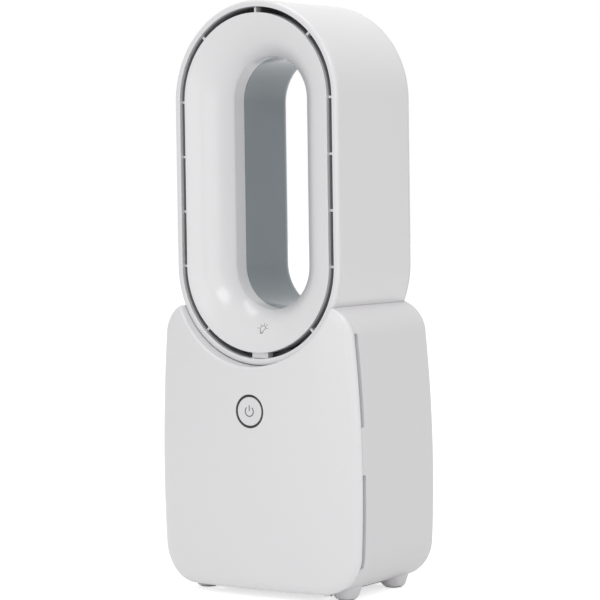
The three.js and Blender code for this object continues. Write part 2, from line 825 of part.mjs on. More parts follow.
function inletRing() {
  return turned([
    [inletThroat, shroudBottomZ],
    [inletThroat, shroudBottomZ - 3],
    [inletThroat + 0.8, shroudBottomZ - 5],
    [inletThroat + 3.4, bracketZ[0] + 0.8],
    [inletThroat + 4.6, bracketZ[0] + 1.6],
    [inletThroat + 2.4, damperTopZ],
    [flangeRadius, damperTopZ],
    [flangeRadius, shroudBottomZ],
  ]);
}

function impellerShroud() {
  const inner = [];
  for (let i = 0; i <= 4; i += 1) {
    const z = THREE.MathUtils.lerp(impellerZ[0], impellerZ[1], i / 4);
    inner.push([shroudAt(z), z]);
  }
  const outer = inner.slice(1).reverse().map(([r, z]) => [r + shroudWall, z]);
  return turned([
    [inletThroat + 1, shroudBottomZ],
    ...inner,
    [shroudRadius, shroudTopZ],
    [flangeRadius, shroudTopZ],
    [flangeRadius, shroudTopZ - 2],
    [shroudRadius + shroudWall, shroudTopZ - 2.5],
    ...outer,
    [inletThroat + 3, shroudBottomZ + 4],
    [inletThroat + 3, shroudBottomZ + 2],
    [flangeRadius, shroudBottomZ + 2],
    [flangeRadius, shroudBottomZ],
  ]);
}

const hubAt = (z) => {
  const t = THREE.MathUtils.clamp((z - impellerZ[0]) / (impellerZ[1] - impellerZ[0]), 0, 1);
  return THREE.MathUtils.lerp(impellerHub[0], impellerHub[1], 1 - Math.cos((t * Math.PI) / 2));
};

// A thin twisted blade between two radius functions; lean is its angle at height share t.
function blade({ zs, inner, outer, lean, thickness, steps }) {
  const rings = [];
  for (let i = 0; i <= steps; i += 1) {
    const t = i / steps;
    const z = THREE.MathUtils.lerp(zs[0], zs[1], t);
    const point = (r, side) => {
      const angle = lean(t) + (side * thickness) / (2 * r);
      return new THREE.Vector3(r * Math.cos(angle), axisY + r * Math.sin(angle), z);
    };
    rings.push([point(inner(z), -1), point(outer(z), -1), point(outer(z), 1), point(inner(z), 1)]);
  }
  return skin(rings);
}

function aroundAxis(geometry, index, count) {
  const copy = geometry.clone();
  copy.translate(0, -axisY, 0);
  copy.rotateZ((index / count) * 2 * Math.PI);
  copy.translate(0, axisY, 0);
  return copy;
}

function impeller() {
  const outline = [[shaftRadius + shaftGap, impellerZ[0]]];
  for (let i = 0; i <= 4; i += 1) {
    const z = THREE.MathUtils.lerp(impellerZ[0], impellerZ[1], i / 4);
    outline.push([hubAt(z), z]);
  }
  outline.push([impellerHub[1] - 2, impellerZ[1]], [impellerHub[1] - 6, impellerZ[1] - 5]);
  outline.push([5, impellerZ[1] - 9], [5, impellerZ[1]], [shaftRadius + shaftGap, impellerZ[1]]);
  const hub = turned(outline);
  const one = blade({
    zs: [impellerZ[0] + 0.5, impellerZ[1] - 0.5],
    inner: (z) => hubAt(z) - 1.5,
    outer: (z) => shroudAt(z) - impellerTipGap,
    lean: (t) => radians(bladeWrap) * Math.sin((t * Math.PI) / 2),
    thickness: bladeThickness,
    steps: 5,
  });
  const blades = Array.from({ length: bladeCount }, (_, i) => aroundAxis(one, i, bladeCount));
  return join(hub, ...blades);
}

function motorPod() {
  const cup = turned([
    [shaftRadius + 3, podZ[0]],
    [podRadius - 4, podZ[0]],
    [podRadius, podZ[0] + 4],
    [podRadius, podZ[1]],
    [podRadius - podWall, podZ[1]],
    [podRadius - podWall, podZ[0] + 5],
    [podRadius - podWall - 3, podZ[0] + podWall],
    [shaftRadius + 3, podZ[0] + podWall],
  ]);
  const one = blade({
    zs: [podZ[0] + 5, podZ[1] - 8],
    inner: () => podRadius - 1,
    outer: () => shroudRadius * Math.cos(Math.PI / roundSteps) - gap,
    lean: (t) => radians(-38) * (1 - t) ** 2,
    thickness: 1.5,
    steps: 3,
  });
  const vanes = Array.from({ length: vaneCount }, (_, i) => aroundAxis(one, i, vaneCount));
  return join(cup, ...vanes);
}

const canWall = 1;
const bearingSeat = bearingRadius + gap;

function motorCan() {
  return turned([
    [shaftRadius + 0.8, motorZ[0]],
    [motorRadius, motorZ[0]],
    [motorRadius, motorZ[1]],
    [motorRadius - canWall, motorZ[1]],
    [motorRadius - canWall, motorZ[0] + 1.2],
    [bearingSeat + 1.2, motorZ[0] + 1.2],
    [bearingSeat + 1.2, motorZ[0] + 1.2 + bearingHeight],
    [bearingSeat, motorZ[0] + 1.2 + bearingHeight],
    [bearingSeat, motorZ[0] + 1.2],
    [shaftRadius + 0.8, motorZ[0] + 1.2],
  ], smallSteps);
}

function motorEndCap() {
  const top = motorZ[1] + 1.5;
  return turned([
    [shaftRadius + 0.8, top],
    [motorRadius, top],
    [motorRadius, motorZ[1]],
    [motorRadius - canWall - gap, motorZ[1]],
    [motorRadius - canWall - gap, motorZ[1] - 2],
    [motorRadius - canWall - gap - 1, motorZ[1] - 2],
    [motorRadius - canWall - gap - 1, motorZ[1]],
    [bearingSeat + 1.2, motorZ[1]],
    [bearingSeat + 1.2, motorZ[1] - bearingHeight],
    [bearingSeat, motorZ[1] - bearingHeight],
    [bearingSeat, motorZ[1]],
    [shaftRadius + 0.8, motorZ[1]],
  ], smallSteps);
}

function bearing(z) {
  return turned([
    [shaftRadius + shaftGap, z],
    [bearingRadius, z],
    [bearingRadius, z + bearingHeight],
    [shaftRadius + shaftGap, z + bearingHeight],
  ], smallSteps);
}

const magnetZ = [motorZ[0] + 2 * bearingHeight + 1, motorZ[1] - 2 * bearingHeight];

function motorStator() {
  const inner = magnetRadius + 0.5;
  const outer = motorRadius - canWall - gap;
  const yokeWidth = outer - inner - coilLength;
  const yoke = turned([
    [outer - yokeWidth, magnetZ[0]],
    [outer, magnetZ[0]],
    [outer, magnetZ[1]],
    [outer - yokeWidth, magnetZ[1]],
  ], smallSteps);
  const halfCoil = (inner * Math.PI) / toothCount - 2 * gap;
  const halfTooth = halfCoil / 2;
  const rise = coilLength / 6;
  const teeth = [];
  for (let i = 0; i < toothCount; i += 1) {
    const tooth = block(
      [inner, axisY - halfTooth, magnetZ[0] + 2 * rise],
      [outer - yokeWidth / 2, axisY + halfTooth, magnetZ[1] - 2 * rise],
    );
    const coil = block(
      [inner + rise, axisY - halfCoil, magnetZ[0] + rise],
      [outer - yokeWidth / 2, axisY + halfCoil, magnetZ[1] - rise],
    );
    teeth.push(aroundAxis(join(tooth, coil), i, toothCount));
  }
  return join(yoke, ...teeth);
}

function rotorMagnet() {
  return turned([
    [shaftRadius + shaftGap, magnetZ[0]],
    [magnetRadius, magnetZ[0]],
    [magnetRadius, magnetZ[1]],
    [shaftRadius + shaftGap, magnetZ[1]],
  ], smallSteps);
}

const spinnerZ = [impellerZ[0] - 5, impellerZ[0] - gap];

function motorShaft() {
  return rod(shaftRadius, [0, axisY, spinnerZ[0] + 3], [0, axisY, motorZ[1] + 1], smallSteps);
}

function spinnerNut() {
  return turned([
    [0, spinnerZ[0]],
    [6, spinnerZ[0] + 1.2],
    [9.5, spinnerZ[1]],
    [shaftRadius + shaftGap, spinnerZ[1]],
    [shaftRadius + shaftGap, spinnerZ[0] + 3 - gap],
    [0, spinnerZ[0] + 3 - gap],
  ], smallSteps);
}

function ductSection(z, share, inset) {
  const points = [];
  const count = roundSteps;
  const corner = 12;
  for (let i = 0; i < count; i += 1) {
    const angle = ((i + 0.5) / count) * 2 * Math.PI;
    const round = [(flangeRadius - inset) * Math.cos(angle), (flangeRadius - inset) * Math.sin(angle)];
    const quadrant = [Math.sign(Math.cos(angle)), Math.sign(Math.sin(angle))];
    const square = quadrant.map((sign, k) => sign * (ductHalf[k] - corner)
      + (corner - inset) * [Math.cos(angle), Math.sin(angle)][k]);
    points.push(new THREE.Vector3(
      THREE.MathUtils.lerp(round[0], square[0], share),
      axisY + THREE.MathUtils.lerp(round[1], square[1], share),
      z,
    ));
  }
  return points;
}

function airDuct() {
  const levels = [[0, 0], [0.08, 0], [0.32, 0.5], [0.53, 1], [1, 1]]
    .map(([rise, share]) => [THREE.MathUtils.lerp(shroudTopZ, ductTopZ, rise), share]);
  const outer = levels.map(([z, share]) => ductSection(z, share, 0));
  const inner = levels.map(([z, share]) => ductSection(z, share, ductWall)).reverse();
  return skin([...outer, ...inner], true);
}

add('fan_bracket', fanBracket(), greyPlastic());
add('damper_ring', damperRing(), blackRubber());
add('inlet_ring', inletRing(), greyPlastic());
add('impeller_shroud', impellerShroud(), greyPlastic());
add('impeller', impeller(), darkPlastic());
add('spinner_nut', spinnerNut(), darkPlastic());
add('motor_pod', motorPod(), greyPlastic());
add('motor_can', motorCan(), steel());
add('motor_end_cap', motorEndCap(), steel());
add('lower_bearing', bearing(motorZ[0] + 1.2), steel());
add('upper_bearing', bearing(motorZ[1] - bearingHeight), steel());
add('motor_stator', motorStator(), brass());
add('rotor_magnet', rotorMagnet(), darkPlastic());
add('motor_shaft', motorShaft(), steel());
add('air_duct', airDuct(), greyPlastic());

// ---------------------------------------------------------------- electrics
function controlBoard() {
  const { y, z, thickness } = boardSize;
  const low = [boardX, axisY - y / 2, boardCentreZ - z / 2];
  const plate = block(low, [boardX + thickness, axisY + y / 2, boardCentreZ + z / 2]);
  const face = boardX + thickness;
  // A box on the board: its middle as shares of the board, its size as shares of the board's height.
  const component = ([shareY, shareZ], [sizeY, sizeZ, height]) => {
    const [middleY, middleZ] = [axisY + shareY * y, boardCentreZ + shareZ * z];
    return block(
      [face - thickness / 4, middleY - (sizeY * z) / 2, middleZ - (sizeZ * z) / 2],
      [face + height * z, middleY + (sizeY * z) / 2, middleZ + (sizeZ * z) / 2],
    );
  };
  const capacitor = ([shareY, shareZ], radius, height) => {
    const [middleY, middleZ] = [axisY + shareY * y, boardCentreZ + shareZ * z];
    return rod(radius * z, [face - thickness / 4, middleY, middleZ], [face + height * z, middleY, middleZ]);
  };
  return join(
    plate,
    component([-0.3, 0.28], [0.24, 0.24, 0.16]),
    component([0.27, -0.32], [0.32, 0.16, 0.12]),
    component([0, 0], [0.2, 0.2, 0.035]),
    capacitor([0.3, 0.24], 0.08, 0.2),
    capacitor([-0.3, -0.16], 0.06, 0.16),
  );
}

function powerInlet() {
  const barrel = rod(jackRadius, [0, bodyRearY - 8, jackZ], [0, bodyRearY - 0.4, jackZ], 20);
  const half = jackRadius + 1.6;
  const body = block([-half, bodyRearY - bodyWall - gap - 12, jackZ - half],
    [half, bodyRearY - bodyWall - gap, jackZ + half]);
  const bore = rod(jackBore, [0, bodyRearY - 10, jackZ], [0, bodyRearY + 2, jackZ], 16);
  const pin = rod(1, [0, bodyRearY - 11, jackZ], [0, bodyRearY - 1.5, jackZ], 12);
  return join(cut(join(barrel, body), bore), pin);
}

add('control_board', controlBoard(), boardGreen());
add('power_inlet', powerInlet(), darkPlastic());

// ---------------------------------------------------------------- base, feet and screws
const baseTopZ = bodyBottomZ - gap;

function basePlate() {
  const shape = roundedRectangle(baseHalf[0], baseHalf[1], 12);
  const plate = extrudedAlongZ(shape, baseTopZ - baseThickness, baseTopZ, 5);
  plate.translate(0, axisY, 0);
  const holes = pillarPlaces.map(([x, y]) => rod(screwRadius + gap, [x, y, 0], [x, y, 10], 12));
  const feet = footPlaces.map(([x, y]) => rod(footTopRadius + 2, [x, y, 0], [x, y, 10], footSteps));
  return cut(plate, ...holes, ...feet);
}

const footPlaces = fourCorners([0, footCentreY], footAt);
const footNames = ['front_left', 'front_right', 'rear_left', 'rear_right'];

function foot([x, y]) {
  const top = bodyBottomZ + 4;
  const peg = turned([
    [0, padThickness],
    [footBottomRadius - 0.6, padThickness],
    [footBottomRadius, padThickness + 0.5],
    [footBottomRadius + 0.8, bodyBottomZ * 0.65],
    [footTopRadius - 1.2, bodyBottomZ],
    [footTopRadius, top],
    [0, top],
  ], footSteps, [x, y]);
  return cut(peg, outlineBlock(-gap, -20, bodyRearY + 20));
}

function footPad([x, y]) {
  return turned([[0, 0], [padRadius, 0], [padRadius, padThickness], [0, padThickness]], footSteps, [x, y]);
}

function baseScrew([x, y]) {
  return turned([
    [0, baseTopZ - baseThickness - 1.4],
    [screwRadius + 1.6, baseTopZ - baseThickness - 1.4],
    [screwRadius + 1.6, baseTopZ - baseThickness],
    [screwRadius, baseTopZ - baseThickness],
    [screwRadius, floorZ + 10],
    [0, floorZ + 11],
  ], 12, [x, y]);
}

add('base_plate', basePlate(), greyPlastic());
footPlaces.forEach((place, i) => {
  add(`foot_${footNames[i]}`, foot(place), white());
  add(`foot_pad_${footNames[i]}`, footPad(place), blackRubber());
});
pillarPlaces.forEach((place, i) => add(`base_screw_${i + 1}`, baseScrew(place), steel()));

// The ground under the middle of the bounding box is the origin.
fan.position.y = -(panelCrownY + bodyRearY) / 2;

export default fan;
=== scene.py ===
"""The looks of a bladeless fan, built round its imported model.

Sizes are in millimetres, as in the fan's drawing, with y measured backwards from the plane of the
air slot. A finished piece is brought to metres and to the model's own place once, in Workshop.
"""

import json
import logging
import math
from dataclasses import dataclass
from enum import Enum
from typing import Callable, Iterable, Optional, Sequence

import bmesh
import bpy
from mathutils import Matrix, Vector


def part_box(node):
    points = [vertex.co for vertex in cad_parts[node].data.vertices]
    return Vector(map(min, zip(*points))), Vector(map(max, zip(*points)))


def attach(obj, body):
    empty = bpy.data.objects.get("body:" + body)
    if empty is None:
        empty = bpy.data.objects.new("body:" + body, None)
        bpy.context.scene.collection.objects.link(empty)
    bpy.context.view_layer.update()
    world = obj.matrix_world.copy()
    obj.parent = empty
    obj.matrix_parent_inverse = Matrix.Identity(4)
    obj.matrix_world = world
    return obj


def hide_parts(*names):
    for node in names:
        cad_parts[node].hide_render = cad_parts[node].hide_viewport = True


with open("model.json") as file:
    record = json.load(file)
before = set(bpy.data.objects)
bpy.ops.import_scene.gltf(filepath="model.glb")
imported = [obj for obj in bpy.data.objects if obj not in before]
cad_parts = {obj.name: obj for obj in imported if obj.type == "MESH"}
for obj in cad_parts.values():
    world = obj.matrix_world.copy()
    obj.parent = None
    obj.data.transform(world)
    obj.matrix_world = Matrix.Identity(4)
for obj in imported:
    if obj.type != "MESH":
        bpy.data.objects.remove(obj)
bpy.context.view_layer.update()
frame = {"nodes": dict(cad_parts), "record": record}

LOG = logging.getLogger("bladeless_fan")
MM = 0.001
OVERCUT = 5.0  # how far a cutting shape passes the surface that it cuts
PRINT_DEPTH = 0.06  # thickness of a printed mark
WIDE_ROUND = 5.0  # rounds above this radius get three times the segments
SLIVER = 1e-7  # faces smaller than this are left over from turning
MERGE = 0.005  # vertices nearer than this become one
IN_PLANE = 0.01  # an edge this near a plane lies in it
TURN_STEPS = 64  # segments of a turn, where a piece asks for no others
PRINT_STEPS = 48  # segments of a printed arc
Colour = tuple[float, float, float]
Shape = bmesh.types.BMesh
Vert = bmesh.types.BMVert
Edge = bmesh.types.BMEdge
Socket = bpy.types.NodeSocket


# ------------------------------------------------------------------ sizes
@dataclass(frozen=True)
class LoopSizes:
    """The stadium-shaped loop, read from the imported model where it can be."""

    model_rim: float = 1.2
    slot_plane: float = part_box("head_shell")[0].y / MM + model_rim
    rim_proud: float = 1.7
    radius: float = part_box("head_shell")[1].x / MM
    lower_z: float = (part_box("head_shell")[0].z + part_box("head_shell")[1].x) / MM
    upper_z: float = (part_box("head_shell")[1].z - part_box("head_shell")[1].x) / MM
    rim_width: float = 4.5
    slot_width: float = 3.9
    slot_depth: float = 9.0
    wall: float = 2.2
    depth: float = 88.0
    cover: float = 1.8
    dish_depth: float = 28.6
    dish_lip_angle: float = 10.0
    dish_wall: float = 2.0
    throat: float = 29.6
    throat_round: float = 4.0
    throat_y: float = 19.2
    liner_wall: float = 2.0
    liner_draft: float = 0.7
    rear_lip: float = 11.6
    gap: float = 0.3

    @property
    def slot_outer(self) -> float:
        """Distance of the slot's outer edge from the centre line."""
        return self.radius - self.rim_width

    @property
    def slot_inner(self) -> float:
        """Distance of the slot's inner edge from the centre line."""
        return self.slot_outer - self.slot_width

    @property
    def dish_radius(self) -> float:
        """Radius of the dish's wide curve, which leaves the lip and runs into the throat's round."""
        start = math.radians(self.dish_lip_angle)
        reach = self.slot_inner - self.throat - self.throat_round
        drop = self.throat_y + self.rim_proud
        return ((reach ** 2 + drop ** 2 - self.throat_round ** 2)
                / (2.0 * (drop * math.cos(start) - reach * math.sin(start) - self.throat_round)))

    @property
    def dish_centre(self) -> tuple[float, float]:
        """Centre of the wide curve: distance from the loop's centre line, and y."""
        start = math.radians(self.dish_lip_angle)
        return (self.slot_inner + self.dish_radius * math.sin(start),
                -self.rim_proud + self.dish_radius * math.cos(start))

    @property
    def dish_meets(self) -> float:
        """Angle from straight ahead, in degrees, where the wide curve meets the throat's round."""
        r, y = self.dish_centre
        return math.degrees(math.atan2(r - self.throat - self.throat_round, y - self.throat_y))

    def on_dish(self, angle: float, depth: float = 0.0) -> tuple[float, float]:
        """Finds a point of the dish's wide curve.

        Args:
            angle: Its angle from straight ahead, in degrees.
            depth: How far it lies behind the face.

        Returns:
            Its distance from the loop's centre line, and its y.
        """
        r, y = self.dish_centre
        reach, turn = self.dish_radius - depth, math.radians(angle)
        return r - reach * math.sin(turn), y - reach * math.cos(turn)


@dataclass(frozen=True)
class BodySizes:
    """The boxy body with its crowned front panel."""

    top_z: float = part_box("body_housing")[1].z / MM
    bottom_z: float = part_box("body_housing")[0].z / MM
    rear_y: float = 93.5
    half_top: float = 76.8
    half_bottom: float = 80.3
    bulge: float = 2.7
    corner_top: float = 23.2
    corner_bottom: float = 28.0
    rear_edge: float = 6.0
    wall: float = 2.5
    seam_y: float = 0.5
    crown_y: float = -12.3
    edge_y: float = -1.7
    face_edge: float = 6.5
    notch_edge: float = 2.3
    notch_gap: float = 0.17
    lip_depth: float = 9.0
    lip_wall: float = 1.8
    vent_width: float = 3.7
    vents: tuple[tuple[float, float], ...] = ((117.0, 178.8), (23.8, 86.0))
    button_z: float = 125.8
    gap: float = 0.3

    @property
    def low_z(self) -> float:
        """Height of the bottom corners' centres."""
        return self.bottom_z + self.corner_bottom

    @property
    def high_z(self) -> float:
        """Height of the top corners' centres."""
        return self.top_z - self.corner_top

    def half_width(self, z: float) -> float:
        """Half the body's width.

        Args:
            z: The height.

        Returns:
            The distance from the middle to the side, which bulges a little.
        """
        t = min(max((z - self.low_z) / (self.high_z - self.low_z), 0.0), 1.0)
        straight = self.half_bottom + (self.half_top - self.half_bottom) * t
        return straight + 4.0 * self.bulge * t * (1.0 - t)

    def face_y(self, x: float) -> float:
        """Depth of the crowned front at a distance x from the middle."""
        half = self.half_bottom + self.bulge
        return self.edge_y + (self.crown_y - self.edge_y) * (1.0 - (x / half) ** 2)


LOOP = LoopSizes()
BODY = BodySizes()


# ------------------------------------------------------------------ finishes
class Slot(Enum):
    """The record's material slots."""

    WHITE_GLOSS = "white_gloss"
    WHITE_SATIN = "white_satin"
    GREY_DIFFUSER = "grey_diffuser"
    LED_BOARD = "led_board"
    CONTACT_METAL = "contact_metal"
    BLACK_PLASTIC = "black_plastic"
    BUTTON_WHITE = "button_white"
    INNER_GREY = "inner_grey"
    CIRCUIT_BOARD = "circuit_board"
    BLACK_RUBBER = "black_rubber"
    MOTOR_STEEL = "motor_steel"


def set_inputs(node: bpy.types.Node, **values: object) -> None:
    """Sets constants on a node's sockets, named with _ for a space."""
    for key, value in values.items():
        node.inputs[key.replace("_", " ")].default_value = value


class Tree:
    """The nodes of a material or a world, laid out from nothing."""

    def __init__(self, owner: bpy.types.ID) -> None:
        """Clears the nodes.

        Args:
            owner: The material or the world.
        """
        owner.use_nodes = True
        self.nodes = owner.node_tree.nodes
        self.links = owner.node_tree.links
        self.nodes.clear()

    def node(self, kind: str, **values: object) -> bpy.types.Node:
        """Adds a node and sets constants on its sockets, named with _ for a space."""
        node = self.nodes.new(kind)
        set_inputs(node, **values)
        return node


class Shader(Tree):
    """The nodes of one material, with its surface and its own coordinates."""

    def __init__(self, name: str) -> None:
        """Starts an empty material.

        Args:
            name: The material's name.
        """
        self.material = bpy.data.materials.new(name)
        super().__init__(self.material)
        output = self.node("ShaderNodeOutputMaterial")
        self.surface = self.node("ShaderNodeBsdfPrincipled")
        self.links.new(self.surface.outputs["BSDF"], output.inputs["Surface"])
        self.place = self.node("ShaderNodeTexCoord").outputs["Object"]

    def noise(self, scale: float, detail: float = 2.0, stretch: Optional[Colour] = None) -> Socket:
        """Adds a noise pattern on the piece's own coordinates.

        Args:
            scale: Cells per metre.
            detail: Octaves of finer noise.
            stretch: Scale along x, y and z, for drawn or brushed patterns.

        Returns:
            The noise's value.
        """
        node = self.node("ShaderNodeTexNoise", Scale=scale, Detail=detail)
        place = self.place
        if stretch is not None:
            mapping = self.node("ShaderNodeMapping", Scale=stretch)
            self.links.new(self.place, mapping.inputs["Vector"])
            place = mapping.outputs["Vector"]
        self.links.new(place, node.inputs["Vector"])
        return node.outputs["Fac"]

    def spread(self, value: Socket, low: float, high: float,
               between: tuple[float, float] = (0.3, 0.7)) -> Socket:
        """Maps a pattern's middle range to low ... high.

        Args:
            value: The pattern.
            low: Result at the range's start.
            high: Result at its end.
            between: The range of the pattern that is used.

        Returns:
            The mapped value.
        """
        node = self.node("ShaderNodeMapRange", From_Min=between[0], From_Max=between[1],
                         To_Min=low, To_Max=high)
        self.links.new(value, node.inputs["Value"])
        return node.outputs["Result"]

    def tint(self, factor: Socket, first: Colour | Socket, second: Colour) -> Socket:
        """Blends two colours by a factor.

        Args:
            factor: 0 for the first colour, 1 for the second.
            first: The first colour, linear, or a pattern of colours.
            second: The second colour, linear.

        Returns:
            The colour.
        """
        node = self.node("ShaderNodeMix")
        node.data_type = "RGBA"
        if isinstance(first, tuple):
            node.inputs[6].default_value = (*first, 1.0)
        else:
            self.links.new(first, node.inputs[6])
        node.inputs[7].default_value = (*second, 1.0)
        self.links.new(factor, node.inputs[0])
        return node.outputs[2]

    def bump(self, height: Socket, distance: float, strength: float = 1.0) -> None:
        """Raises the surface by a pattern.

        Args:
            height: The pattern.
            distance: Its full height in metres.
            strength: Share of the effect.
        """
        node = self.node("ShaderNodeBump", Distance=distance, Strength=strength)
        self.links.new(height, node.inputs["Height"])
        self.feed("Normal", node.outputs["Normal"])

    def feed(self, name: str, value: Socket) -> None:
        """Links a pattern to one of the surface's sockets."""
        self.links.new(value, self.surface.inputs[name])


@dataclass(frozen=True)
class Moulded:
    """A moulded plastic or rubber with slow colour drift and a fine grain.

    The two colours are linear, and the surface drifts between them over some centimetres.
    """

    name: str
    light: Colour
    dark: Colour
    roughness: float = 0.35
    roughness_drift: float = 0.04
    coat: float = 0.0
    coat_roughness: float = 0.12
    specular: float = 0.5
    drift_scale: float = 16.0
    grain_scale: float = 1500.0
    grain_height: float = 0.000012
    grain_strength: float = 0.5

    def build(self) -> bpy.types.Material:
        """Returns the material."""
        shader = Shader(self.name)
        drift = shader.spread(shader.noise(self.drift_scale, 3.0), 0.0, 1.0)
        shader.feed("Base Color", shader.tint(drift, self.light, self.dark))
        low, high = self.roughness - self.roughness_drift, self.roughness + self.roughness_drift
        shader.feed("Roughness", shader.spread(shader.noise(self.drift_scale * 6.0, 4.0), low, high))
        shader.bump(shader.noise(self.grain_scale, 2.0), self.grain_height, self.grain_strength)
        set_inputs(shader.surface, Coat_Weight=self.coat, Coat_Roughness=self.coat_roughness,
                   Specular_IOR_Level=self.specular)
        return shader.material


@dataclass(frozen=True)
class Metal:
    """A turned, drawn or pressed metal whose fine marks run along one direction."""

    name: str
    light: Colour
    dark: Colour
    roughness: float = 0.3
    stretch: Colour = (1.0, 1.0, 12.0)
    scale: float = 260.0

    def build(self) -> bpy.types.Material:
        """Returns the material."""
        shader = Shader(self.name)
        marks = shader.noise(self.scale, 4.0, self.stretch)
        shader.feed("Base Color", shader.tint(shader.spread(marks, 0.0, 1.0), self.light, self.dark))
        shader.feed("Roughness", shader.spread(marks, self.roughness - 0.07, self.roughness + 0.09))
        shader.bump(marks, 0.000006, 0.35)
        set_inputs(shader.surface, Metallic=1.0)
        return shader.material


@dataclass(frozen=True)
class Board:
    """A circuit board: solder mask over copper tracks, with tinned pads."""

    name: str
    mask: Colour
    track: Colour
    pad: Colour
    track_scale: float = 190.0
    pad_scale: float = 300.0

    def build(self) -> bpy.types.Material:
        """Returns the material."""
        shader = Shader(self.name)
        brick = shader.node("ShaderNodeTexBrick", Scale=self.track_scale, Mortar_Size=0.09,
                            Color1=(0.0, 0.0, 0.0, 1.0), Color2=(0.25, 0.25, 0.25, 1.0),
                            Mortar=(1.0, 1.0, 1.0, 1.0))
        cells = shader.node("ShaderNodeTexVoronoi", Scale=self.pad_scale)
        for pattern in (brick, cells):
            shader.links.new(shader.place, pattern.inputs["Vector"])
        base = shader.tint(brick.outputs["Color"], self.mask, self.track)
        pads = shader.spread(cells.outputs["Distance"], 1.0, 0.0, (0.16, 0.2))
        shader.feed("Base Color", shader.tint(pads, base, self.pad))
        shader.feed("Roughness", shader.spread(pads, 0.38, 0.2, (0.0, 1.0)))
        shader.bump(brick.outputs["Fac"], 0.00004, 0.5)
        return shader.material


FINISHES: dict[Slot, Moulded | Metal | Board] = {
    Slot.WHITE_GLOSS: Moulded(
        "white_gloss_plastic", (0.779, 0.773, 0.784), (0.774, 0.768, 0.780), 0.3, 0.015,
        coat=0.5, coat_roughness=0.1, grain_scale=900.0, grain_height=0.0000015),
    Slot.WHITE_SATIN: Moulded(
        "white_satin_plastic", (0.774, 0.762, 0.774), (0.768, 0.756, 0.768), 0.42, 0.02,
        grain_scale=2400.0, grain_height=0.000002),
    Slot.GREY_DIFFUSER: Moulded(
        "grey_diffuser_plastic", (0.218, 0.262, 0.288), (0.203, 0.245, 0.270), 0.2, 0.03,
        coat=0.35, coat_roughness=0.08, grain_height=0.000006),
    Slot.LED_BOARD: Board(
        "led_strip_board", (0.76, 0.76, 0.73), (0.66, 0.64, 0.58), (0.82, 0.66, 0.20), 120.0, 90.0),
    Slot.CONTACT_METAL: Metal(
        "contact_copper", (0.72, 0.46, 0.28), (0.62, 0.37, 0.21), 0.32, (1.0, 9.0, 1.0), 420.0),
    Slot.BLACK_PLASTIC: Moulded("black_plastic", (0.022, 0.024, 0.026), (0.016, 0.018, 0.020), 0.4, 0.05),
    Slot.BUTTON_WHITE: Moulded("button_white_plastic", (0.772, 0.768, 0.779), (0.760, 0.756, 0.768), 0.3),
    Slot.INNER_GREY: Moulded(
        "inner_grey_plastic", (0.345, 0.360, 0.372), (0.315, 0.330, 0.343), 0.5, 0.05,
        grain_scale=1200.0, grain_height=0.00002),
    Slot.CIRCUIT_BOARD: Board(
        "circuit_board", (0.020, 0.105, 0.050), (0.035, 0.175, 0.080), (0.62, 0.60, 0.52)),
    Slot.BLACK_RUBBER: Moulded(
        "black_rubber", (0.030, 0.030, 0.031), (0.020, 0.020, 0.022), 0.78, 0.06,
        specular=0.3, grain_scale=1800.0, grain_height=0.00003, grain_strength=0.8),
    Slot.MOTOR_STEEL: Metal("motor_steel", (0.60, 0.61, 0.62), (0.47, 0.48, 0.50)),
}
MARK_GREY = Moulded("printed_mark_ink", (0.135, 0.140, 0.145), (0.115, 0.120, 0.125), 0.5, 0.05)


# ------------------------------------------------------------------ workshop
@dataclass(frozen=True)
class Bend:
    """An arc of a section about a centre, turning from the direction of r to that of y."""

    r: float
    y: float
    degrees: float
    steps: int = 8


@dataclass(frozen=True)
class Corner:
    """A corner of a section: distance from the axis, depth or height, and the round on it.

    Where it has a bend, the run to the next corner is that arc.
    """

    r: float
    y: float
    round: float = 0.0
    bend: Optional[Bend] = None


def linked(name: str, bm: Shape) -> bpy.types.Object:
    """Puts a shape in the scene as a new object and frees it."""
    mesh = bpy.data.meshes.new(name)
    bm.to_mesh(mesh)
    bm.free()
    obj = bpy.data.objects.new(name, mesh)
    bpy.context.scene.collection.objects.link(obj)
    return obj


class Workshop:
    """Turns bmeshes into finished pieces and keeps the list of them."""

    def __init__(self) -> None:
        """Starts with no pieces."""
        self.materials: dict[str, bpy.types.Material] = {}
        self.pieces: list[bpy.types.Object] = []

    def material(self, finish: object) -> bpy.types.Material:
        """Returns a finish's material, built once."""
        if finish.name not in self.materials:
            self.materials[finish.name] = finish.build()
        return self.materials[finish.name]

    def piece(self, name: str, bm: Shape, slot: Slot, body: str = "root",
              stands_for: Sequence[str] = (), finish: Optional[object] = None,
              sharp: float = 32.0) -> bpy.types.Object:
        """Makes a finished object from a bmesh in drawing millimetres.

        Args:
            name: The piece's name.
            bm: Its shape, which is freed here.
            slot: The record's slot that the piece belongs to.
            body: The body it rides on.
            stands_for: The model's nodes that it replaces.
            finish: A finish other than the slot's own.
            sharp: Edges that turn more than this many degrees stay sharp.

        Returns:
            The object.
        """
        bmesh.ops.scale(bm, vec=(MM, MM, MM), verts=bm.verts)
        bmesh.ops.translate(bm, vec=(0.0, LOOP.slot_plane * MM, 0.0), verts=bm.verts)
        obj = linked(name, bm)
        mesh = obj.data
        mesh.polygons.foreach_set("use_smooth", [True] * len(mesh.polygons))
        mesh.set_sharp_from_angle(angle=math.radians(sharp))
        mesh.materials.append(self.material(finish or FINISHES[slot]))
        normals = obj.modifiers.new("even_shading", "WEIGHTED_NORMAL")
        normals.keep_sharp = True
        normals.weight = 60
        if stands_for:
            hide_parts(*stands_for)
        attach(obj, body)
        self.pieces.append(obj)
        LOG.info("%s: %d faces, rides %s", name, len(mesh.polygons), body)
        return obj


def only(geom: Iterable[object], kind: type) -> list:
    """Picks the vertices or the edges from an operator's result."""
    return [g for g in geom if isinstance(g, kind)]


